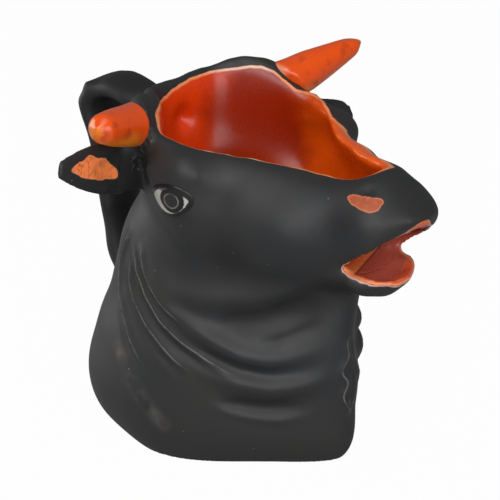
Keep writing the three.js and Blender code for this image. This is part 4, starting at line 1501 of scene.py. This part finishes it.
@dataclass
class CastBody:
    """The cast head and neck with its ears, handle and lower lip, as one skin parted at the joints."""

    camera: PhotoCamera
    voxel: float = 0.94
    swell: float = BODY_SWELL
    soft_rounds: int = 5
    skin_rounds: int = 120
    sources: tuple[str, ...] = (
        "head_body", "liner_glaze", "lower_jaw", "lip_glaze", "handle", "nostril_glaze_left",
        "nostril_glaze_right", "eye_left", "eye_right",
    )
    cuts: tuple[Cut, ...] = (EAR_LEFT_JOINT, EAR_RIGHT_JOINT, HANDLE_TOP_JOINT, HANDLE_HEEL_JOINT, LIP_JOINT)

    def build(self) -> tuple[dict[str, bpy.types.Object], BVHTree]:
        """Cast, smooth, carve and mark the skin, and part it at its joints.

        Returns:
            The pieces by name, and a search tree of the whole skin in millimetres.
        """
        ears = copy_of(EARS, "cast_ears")
        swell(ears, EAR_SWELL)
        body = copy_of(self.sources, "cast_body")
        swell(body, self.swell)
        piece = cast([body, ears, lip_roll()], "cast_body", self.voxel)
        skin = Skin(piece)
        LOG.info("cast skin has %d points", len(skin.points))
        self.smooth(skin)
        thumbs = self.thumbs(skin)
        skin.press(thumbs)
        self.carve(skin)
        skin.fit()
        self.mark(skin)
        surface = skin.tree()
        pieces = self.part(piece)
        for fine in FINE_PIECES:
            pieces[fine.name] = fine.build(pieces[fine.name], thumbs)
        return pieces, surface

    def dress(self, pieces: dict[str, bpy.types.Object], glaze: bpy.types.Material) -> None:
        """Glaze the parted pieces.

        Args:
            pieces: The pieces by name.
            glaze: Their material.
        """
        for name, piece in pieces.items():
            hand_over(piece, glaze, STANDS_FOR[name])

    def smooth(self, skin: Skin) -> None:
        """Take the flats out of the skin, keeping the rims and lips.

        Args:
            skin: The skin.
        """
        skin.points = skin.flowed(skin.points, self.soft_rounds, SOFT_FLOW)
        sharp = skin.feature(*SHARP_BEND, SHARP_RINGS)
        skin.even(self.skin_rounds, FLOW * (1.0 - sharp * (1.0 - self.calm(skin))))
        for zone, rounds in MELTS:
            skin.points = skin.flowed(skin.points, rounds, FLOW * zone.share(skin.points))
        self.widen_strap(skin)
        skin.settle()

    def widen_strap(self, skin: Skin) -> None:
        """Widen the strap handle and bring its upright nearer to the neck.

        Args:
            skin: The skin.
        """
        strap = self.strap_share(skin)
        upright = strap * (1.0 - eased(skin.points[:, 2], *STRAP_TOP))
        skin.points[:, 1] += STRAP_WIDEN * strap * (skin.points[:, 1] - MIDDLE_Y)
        skin.points[:, 0] += STRAP_NEARER * upright

    def strap_share(self, skin: Skin) -> np.ndarray:
        """Return how much each point belongs to the strap handle, 0 to 1."""
        behind = eased(-skin.points[:, 0], -STRAP_FROM[0], -STRAP_FROM[1])
        return behind * eased(skin.points[:, 2], *STRAP_FOOT)

    def calm(self, skin: Skin) -> np.ndarray:
        """Find the skin whose bends are only the solids' flats, such as the neck and the brows.

        Args:
            skin: The skin.

        Returns:
            1 there and 0 elsewhere, for each point.
        """
        height = skin.points[:, 2]
        calm = eased(height, *NECK_CALM_FOOT) * (1.0 - eased(height, *NECK_CALM_TOP))
        for zone in CALM:
            calm = np.maximum(calm, zone.share(skin.points))
        skin.settle()
        inward = eased(-self.crown_facing(skin), -INNER_CALM[0], -INNER_CALM[1])
        return np.maximum(calm, skin.flowed(inward, INNER_ROUNDS, FLOW))

    def thumbs(self, skin: Skin) -> list[Thumb]:
        """Work out the thumb work on the skin.

        Args:
            skin: The skin.

        Returns:
            The pulls with their places and shifts.
        """
        right, up, _ = (np.array(axis) for axis in self.camera.axes())
        tree = skin.tree()
        thumbs = []
        for pull in PULLS:
            place, _ = self.hit(skin, tree, pull.start)
            scale = self.camera.project(place[None])[1][0]
            across, down = pull.end[0] - pull.start[0], pull.end[1] - pull.start[1]
            shift = (right * across - up * down) / scale
            thumbs.append(Thumb(place, shift, pull.radius))
        return thumbs

    def carve(self, skin: Skin) -> None:
        """Raise and press the folds and swellings of the face and neck.

        Args:
            skin: The skin.
        """
        crest = np.tile([CREST_FAR, 0.0], (len(skin.points), 1))
        tree = skin.tree()
        push = np.zeros(len(skin.points))
        for mound in MOUNDS:
            middle, normal = self.hit(skin, tree, mound.pixel)
            push += skin.mound(middle, normal, mound)
            push += skin.mound(mirrored(middle[None])[0], normal * MIRROR, mound)
        for stroke in STROKES:
            trail = self.trail(skin, tree, stroke.path)
            for line in (trail, mirrored(trail)):
                push += skin.stroke(line, stroke, crest)
        skin.points += skin.normals * push[:, None]
        skin.settle()
        # Painted shade: the black is painted darker where the skin was pressed in and on the strap handle
        skin.carry(Mark.PAINTED_SHADE, np.maximum(-push, 0.0) + STRAP_PAINTED_SHADE * self.strap_share(skin))
        near = (np.abs(crest[:, 0]) < CREST_EVENED).astype(float)
        crest = skin.flowed(crest, CREST_ROUNDS, SOFT_FLOW * near)
        skin.carry(Mark.CREST, crest[:, 0])
        skin.carry(Mark.CREST_SHARE, crest[:, 1])

    def hit(self, skin: Skin, tree: BVHTree, pixel: Pixel) -> tuple[np.ndarray, np.ndarray]:
        """Find the skin behind a pixel of the photograph, or else the skin nearest to its sight line.

        Args:
            skin: The skin.
            tree: The skin's search tree.
            pixel: The pixel.

        Returns:
            The place in millimetres and the skin's normal there.
        """
        eye, way = self.camera.place(), self.camera.ray(pixel)
        place, normal, _, _ = tree.ray_cast(eye, way)
        if place is not None:
            return np.array(place), np.array(normal)
        away = skin.points - np.array(eye)
        along = away @ np.array(way)
        nearest = np.argmin(np.linalg.norm(away - along[:, None] * np.array(way), axis=1))
        return skin.points[nearest].copy(), skin.normals[nearest].copy()

    def trail(self, skin: Skin, tree: BVHTree, path: tuple[Pixel, ...]) -> np.ndarray:
        """Lay a drawn line on the skin, with a point about every millimetre.

        Args:
            skin: The skin.
            tree: The skin's search tree.
            path: The line's pixels.

        Returns:
            Rows of x, y, z in millimetres.
        """
        pixels = np.array(path)
        run = np.concatenate([[0], np.cumsum(np.linalg.norm(np.diff(pixels, axis=0), axis=1))])
        steps = np.linspace(0, run[-1], max(TRAIL_LEAST, int(run[-1] / TRAIL_STEP)))
        dense = np.stack([np.interp(steps, run, pixels[:, axis]) for axis in (0, 1)], axis=1)
        padded = np.concatenate([dense[:1], dense, dense[-1:]])
        dense = (padded[:-2] + 2 * dense + padded[2:]) / 4
        line = [self.hit(skin, tree, tuple(dense[0]))[0]]
        for pixel in dense[1:]:
            place = self.hit(skin, tree, tuple(pixel))[0]
            if np.linalg.norm(place - line[-1]) < TRAIL_GAP:
                line.append(place)
        return np.array(line)

    def mark(self, skin: Skin) -> None:
        """Store where the orange glaze goes, where the black is crumbly, and where a highlight streak is
        painted on the black.

        Args:
            skin: The skin.
        """
        tree = skin.tree()
        crown = self.crown_mark(skin)
        painted = self.outline_mark(skin, tree, CROWN_PAINT, False)
        seen = self.facing_camera(skin.points, skin.normals) & (skin.points[:, 2] > CROWN_LOW)
        held_back = np.where(seen, np.maximum(crown - painted, 0.0), 0.0)
        crown = crown - skin.flowed(held_back, CROWN_ROUNDS, (~seen).astype(float))
        skin.carry(Mark.LINING, np.maximum(crown, self.mouth_mark(skin)))
        dabs = [self.outline_mark(skin, tree, outline) for outline in (EAR_DAB, NOSTRIL_DAB)]
        skin.carry(Mark.PATCH, np.maximum(*dabs))
        skin.carry(Mark.SILL, self.outline_mark(skin, tree, SILL_DAB))
        skin.carry(Mark.GRAIN, self.line_mark(skin, tree, GRAIN_PATH, GRAIN_WIDE))
        skin.carry(Mark.LIP, LIP_PALE - skin.off_line(lip_path()))
        # The painted highlight streak along the shoulder
        skin.carry(Mark.PAINTED_SHEEN, self.line_mark(skin, tree, SHOULDER, PAINTED_SHEEN_WIDE))

    def line_mark(self, skin: Skin, tree: BVHTree, path: tuple[Pixel, ...], wide: float) -> np.ndarray:
        """Measure how far inside the band along a drawn line, or its mirror image, each point lies.

        Args:
            skin: The skin.
            tree: The skin's search tree.
            path: The line's pixels.
            wide: How far the band reaches from the line.

        Returns:
            Millimetres from the band's edge, more inside, for each point.
        """
        line = self.trail(skin, tree, path)
        return wide - np.minimum(skin.off_line(line), skin.off_line(mirrored(line)))

    def crown_mark(self, skin: Skin) -> np.ndarray:
        """Measure how far inside the crown's painted edge each point lies.

        Args:
            skin: The skin.

        Returns:
            About millimetres from the edge, more inside, for each point.
        """
        facing = self.crown_facing(skin)
        ahead = eased(skin.points[:, 0], *CROWN_BACK)
        left = eased(skin.points[:, 1], -CROWN_TURN, CROWN_TURN)
        side = CROWN_EDGE_RIGHT + (CROWN_EDGE_LEFT - CROWN_EDGE_RIGHT) * left
        edge = CROWN_EDGE_BACK + (side - CROWN_EDGE_BACK) * ahead
        return (skin.between(facing) - edge) * RIM_TOP

    def crown_facing(self, skin: Skin) -> np.ndarray:
        """Measure whether each point of the lined wall faces out of the head or in.

        Args:
            skin: The skin.

        Returns:
            1 facing out or off the lining, -1 facing in.
        """
        tree = tree_of("liner_glaze")
        near = np.array([tree.find_nearest(Vector(point))[3] for point in skin.points])
        out = skin.points - np.array([0.0, MIDDLE_Y, 0.0])
        out[:, 0] -= np.clip(skin.points[:, 0], *CROWN_AXIS)
        out[:, 2] = np.minimum(skin.points[:, 2] - LINING_LOW, 0.0)
        out /= np.maximum(np.linalg.norm(out, axis=1), LEAST_LENGTH)[:, None]
        facing = (skin.normals * out).sum(axis=1)
        facing[near > LINING_REACH] = 1.0
        return facing

    def mouth_mark(self, skin: Skin) -> np.ndarray:
        """Measure how far inside the mouth's painted edge each point lies.

        Args:
            skin: The skin.

        Returns:
            About millimetres from the edge, more inside, for each point.
        """
        start, end = np.array(MOUTH_BACK), np.array(MOUTH_FRONT)
        way = (end - start) / np.linalg.norm(end - start)
        out = skin.points - start
        along = out @ way
        out = out - along[:, None] * way
        reach = np.linalg.norm(out, axis=1)
        facing = (skin.normals * out).sum(axis=1) / np.maximum(reach, LEAST_LENGTH)
        facing[(along < 0) | (reach > MOUTH_REACH)] = 1.0
        upper = eased(out[:, 2], -LIP_TURN, LIP_TURN)
        edge = LOWER_LIP_EDGE + (UPPER_LIP_EDGE - LOWER_LIP_EDGE) * upper
        return (skin.between(facing) - edge) * LIP_TOP * (1.0 + (UPPER_LIP_THIN - 1.0) * upper)

    def facing_camera(self, points: np.ndarray, normals: np.ndarray) -> np.ndarray:
        """Tell which points face the photograph's camera."""
        return ((np.array(self.camera.place()) - points) * normals).sum(axis=1) > 0

    def in_sight(self, skin: Skin, tree: BVHTree, asked: np.ndarray) -> np.ndarray:
        """Tell which of some points nothing hides from the photograph's camera.

        Args:
            skin: The skin.
            tree: The skin's search tree.
            asked: The points in question.

        Returns:
            True for those in sight.
        """
        eye = self.camera.place()
        sight = np.zeros(len(skin.points), dtype=bool)
        for index in np.flatnonzero(asked):
            point = Vector(skin.points[index])
            place = tree.ray_cast(eye, point - eye)[0]
            sight[index] = place is not None and (place - point).length < SIGHT_SLACK
        return skin.flowed(sight.astype(float), SIGHT_ROUNDS, FLOW) > SIGHT_SHARE

    def outline_mark(self, skin: Skin, tree: BVHTree, outline: Outline, both: bool = True) -> np.ndarray:
        """Measure how far inside a drawn dab of glaze each point lies.

        Args:
            skin: The skin.
            tree: The skin's search tree.
            outline: The dab's edge.
            both: Whether the far side, where the camera can't see it, has the dab too.

        Returns:
            Millimetres from the edge, more inside, for each point.
        """
        corners = np.array(outline.corners, dtype=float)
        middle, _ = self.hit(skin, tree, tuple(corners.mean(axis=0)))
        mark = np.full(len(skin.points), -MARK_LIMIT)
        front = self.facing_camera(skin.points, skin.normals)
        sides = [(skin.points, front)]
        if both:
            other = mirrored(skin.points) + np.array([0.0, 0.0, outline.far_drop])
            shown = self.facing_camera(other, skin.normals * MIRROR)
            shown &= np.linalg.norm(other - middle, axis=1) < outline.reach
            sides.append((other, shown & ~self.in_sight(skin, tree, shown & front)))
        for points, shown in sides:
            near = (np.linalg.norm(points - middle, axis=1) < outline.reach) & shown
            pixels, scale = self.camera.project(points[near])
            signed = inside_by(pixels, corners) / scale
            mark[near] = np.maximum(mark[near], np.clip(signed, -MARK_LIMIT, MARK_LIMIT))
        return mark

    def part(self, piece: bpy.types.Object) -> dict[str, bpy.types.Object]:
        """Part the skin at its joints and close each piece.

        Args:
            piece: The whole skin.

        Returns:
            The pieces by name.
        """
        body = bmesh.new()
        body.from_mesh(piece.data)
        for cut in self.cuts:
            place = Vector(cut.place) * MM
            reach = cut.reach * MM
            near = [face for face in body.faces if (face.calc_center_median() - place).length < reach]
            edges = {edge for face in near for edge in face.edges}
            points = {point for face in near for point in face.verts}
            result = bmesh.ops.bisect_plane(
                body,
                geom=[*near, *edges, *points],
                plane_co=place,
                plane_no=Vector(cut.normal).normalized(),
                dist=CUT_SLACK * MM,
            )
            seam = [part for part in result["geom_cut"] if isinstance(part, bmesh.types.BMEdge)]
            bmesh.ops.split_edges(body, edges=seam)
        body.to_mesh(piece.data)
        body.free()
        pick(piece)
        bpy.ops.mesh.separate(type="LOOSE")
        pieces: dict[str, bpy.types.Object] = {}
        for loose in list(bpy.context.selected_objects):
            if len(loose.data.vertices) < CRUMB_POINTS:
                bpy.data.objects.remove(loose)
                continue
            name = self.name_of(loose)
            LOG.info("piece %s has %d points", name, len(loose.data.vertices))
            rename(loose, name)
            close(loose)
            pieces[name] = loose
        return pieces

    def name_of(self, piece: bpy.types.Object) -> str:
        """Name a parted piece by where its middle lies."""
        points = piece.data.vertices
        middle = sum((point.co for point in points), Vector()) / len(points) / MM
        if middle.x < HANDLE_BEHIND:
            return "strap_handle"
        if abs(middle.y) > EAR_OUT:
            return "ear_of_left" if middle.y > 0 else "ear_of_right"
        return "lower_lip" if middle.x > LIP_AHEAD else "head_shell"


@dataclass
class Horn:
    """One horn, luted on the poll: a smooth blunt cone of its own."""

    side: str
    fatter: float
    longer: float
    blunter: float
    deeper: float
    voxel: float = 0.55
    rounds: int = 14
    root_share: float = 0.15
    tip_share: float = 0.95
    blunt_span: Span = (0.1, 0.8)
    fat_span: Span = (0.12, 0.4)
    butt_span: Span = (0.03, 0.22)

    def build(self) -> bpy.types.Object:
        """Cast the horn smooth, and shape its root, its girth and its tip.

        Returns:
            The piece.
        """
        piece = cast([hull_of(f"horn_{self.side}")], f"horn_of_{self.side}", self.voxel)
        skin = Skin(piece)
        skin.even(self.rounds, FLOW)
        skin.settle()
        out = np.abs(skin.points[:, 1] - MIDDLE_Y)
        away = out - out.min()
        share = away / away.max()
        root = skin.points[share < self.root_share].mean(axis=0)
        tip = skin.points[share > self.tip_share].mean(axis=0)
        axis = (tip - root) / np.linalg.norm(tip - root)
        off = skin.points - root
        off -= (off @ axis)[:, None] * axis
        skin.points += off * (self.blunter * eased(share, *self.blunt_span))[:, None]
        skin.points += skin.normals * (self.fatter * eased(share, *self.fat_span))[:, None]
        skin.points[:, 1] += np.sign(skin.points[:, 1]) * (self.longer - 1.0) * away
        along = (skin.points - root) @ axis
        butt = 1.0 - eased((along - along.min()) / np.ptp(along), *self.butt_span)
        skin.points -= (self.deeper * butt)[:, None] * axis
        skin.fit()
        skin.carry(SmallMark.ALONG, share)
        skin.carry(SmallMark.UNDER, -skin.normals[:, 2])
        return piece

    def dress(self, piece: bpy.types.Object, glaze: bpy.types.Material) -> None:
        """Glaze the horn."""
        hand_over(piece, glaze, (f"horn_{self.side}",))


@dataclass
class Eye:
    """One eye: an almond let into the skin, with its white, iris and pupil painted on."""

    side: str
    long: float = 6.9
    high: float = 4.8
    bulge: float = 0.8
    proud: float = 0.08
    deep: float = 0.7
    segments: int = 64
    rings: int = 32

    def build(self, camera: PhotoCamera, surface: BVHTree) -> bpy.types.Object:
        """Model the eye on its place.

        Args:
            camera: The camera that its place is read by.
            surface: The search tree of the whole skin.

        Returns:
            The piece.
        """
        place, normal, _, _ = surface.ray_cast(camera.place(), camera.ray(EYE_PIXEL))
        middle, out = np.array(place), np.array(normal)
        if self.side == "left":
            middle, out = mirrored(middle[None])[0], out * MIRROR
        along = np.array([1.0, 0.0, 0.0]) - out[0] * out
        along /= np.linalg.norm(along)
        up = np.cross(along, out)
        up *= np.sign(up[2])
        bpy.ops.object.select_all(action="DESELECT")
        bpy.ops.mesh.primitive_uv_sphere_add(segments=self.segments, ring_count=self.rings, radius=1.0)
        piece = bpy.context.active_object
        rename(piece, f"eye_of_{self.side}")
        bpy.ops.object.shade_smooth()
        skin = Skin(piece)
        local = skin.points * MM
        flat = local[:, [0]] * self.long * along + local[:, [2]] * self.high * up
        for index, (spot, front) in enumerate(zip(flat, local[:, 1])):
            start = Vector(middle + spot + EYE_SEARCH * out)
            depth = surface.ray_cast(start, Vector(-out))[3]
            rise = EYE_SEARCH - (EYE_SEARCH if depth is None else depth)
            rise += self.proud + (self.bulge * front if front > 0 else self.deep * front)
            skin.points[index] = middle + spot + rise * out
        skin.settle()
        with all_in_edit(piece):
            bpy.ops.mesh.normals_make_consistent(inside=False)
        skin.carry(SmallMark.EYE_ALONG, local[:, 0] * self.long)
        skin.carry(SmallMark.EYE_UP, local[:, 2] * self.high)
        return piece

    def dress(self, piece: bpy.types.Object, paint: bpy.types.Material) -> None:
        """Paint the eye."""
        hand_over(piece, paint, (f"eye_{self.side}",))


@dataclass(frozen=True)
class Lamp:
    """One square softbox aimed at the middle of the object: lengths in metres, power in watts."""

    name: str
    place: Place
    size: float
    power: float
    aim: Place = (0.0, 0.0, 0.06)

    def build(self) -> None:
        """Hang the lamp."""
        data = bpy.data.lights.new(self.name, "AREA")
        data.shape = "SQUARE"
        data.size = self.size
        data.energy = self.power
        lamp = bpy.data.objects.new(self.name, data)
        bpy.context.scene.collection.objects.link(lamp)
        lamp.location = self.place
        away = Vector(self.place) - Vector(self.aim)
        lamp.rotation_euler = away.to_track_quat("Z", "Y").to_euler()


LAMPS = (
    Lamp("front_box", (0.5, -0.95, 0.78), 0.75, 8.0),
    Lamp("over_box", (0.3, -0.3, 1.0), 0.6, 2.2),
    Lamp("left_box", (-1.05, -0.4, 0.3), 0.7, 5.0),
    Lamp("right_box", (1.0, -0.42, 0.2), 0.8, 6.0),
)


@dataclass(frozen=True)
class Studio:
    """A white floor under a soft studio light."""

    floor_size: float = 4.0
    world_level: float = 0.22
    floor_glow: float = 0.98
    floor_tone: float = 0.5

    def build(self) -> None:
        """Make the floor, the lamps and the world."""
        self.floor()
        for lamp in LAMPS:
            lamp.build()
        self.world()

    def floor(self) -> None:
        """Lay the floor, which shows white to the camera but keeps the shadow."""
        bpy.ops.object.select_all(action="DESELECT")
        bpy.ops.mesh.primitive_plane_add(size=self.floor_size)
        floor = bpy.context.active_object
        floor.name = "floor"
        sheet = Sheet.for_glaze("floor_white")
        matt = sheet.wire("ShaderNodeBsdfDiffuse", {}, {"Color": (*[self.floor_tone] * 3, 1.0)})
        glow = sheet.wire("ShaderNodeEmission", {}, {"Color": (1.0, 1.0, 1.0, 1.0), "Strength": 1.0})
        seen = sheet.wire("ShaderNodeLightPath", {}, {}, "Is Camera Ray")
        mixed = sheet.wire("ShaderNodeMixShader", {}, {0: seen * self.floor_glow, 1: matt, 2: glow})
        sheet.node("ShaderNodeOutputMaterial", {}, {"Surface": mixed})
        floor.data.materials.append(sheet.owner)

    def world(self) -> None:
        """Fill in from all sides, and show white behind the object."""
        world = bpy.data.worlds.new("studio")
        bpy.context.scene.world = world
        sheet = Sheet(world)
        seen = sheet.wire("ShaderNodeLightPath", {}, {}, "Is Camera Ray")
        level = self.world_level + seen * (1.0 - self.world_level)
        light = sheet.wire("ShaderNodeBackground", {}, {"Strength": level})
        sheet.node("ShaderNodeOutputWorld", {}, {"Surface": light})


HORNS = (
    Horn("left", fatter=0.6, longer=1.0, blunter=0.0, deeper=2.0),
    Horn("right", fatter=0.0, longer=0.91, blunter=0.16, deeper=0.5),
)


def main() -> None:
    """Build the camera, the studio and the pieces in order."""
    logging.basicConfig(level=logging.INFO)
    bpy.context.scene.view_settings.view_transform = "Standard"
    camera = PhotoCamera()
    camera.build()
    Studio().build()
    glaze = BodyGlaze().material()
    body = CastBody(camera)
    pieces, surface = body.build()
    body.dress(pieces, glaze)
    horn_glaze = HornGlaze().material()
    eye_paint = EyePaint().material()
    for horn in HORNS:
        horn.dress(horn.build(), horn_glaze)
        eye = Eye(horn.side)
        eye.dress(eye.build(camera, surface), eye_paint)


if __name__ == "__main__":
    main()
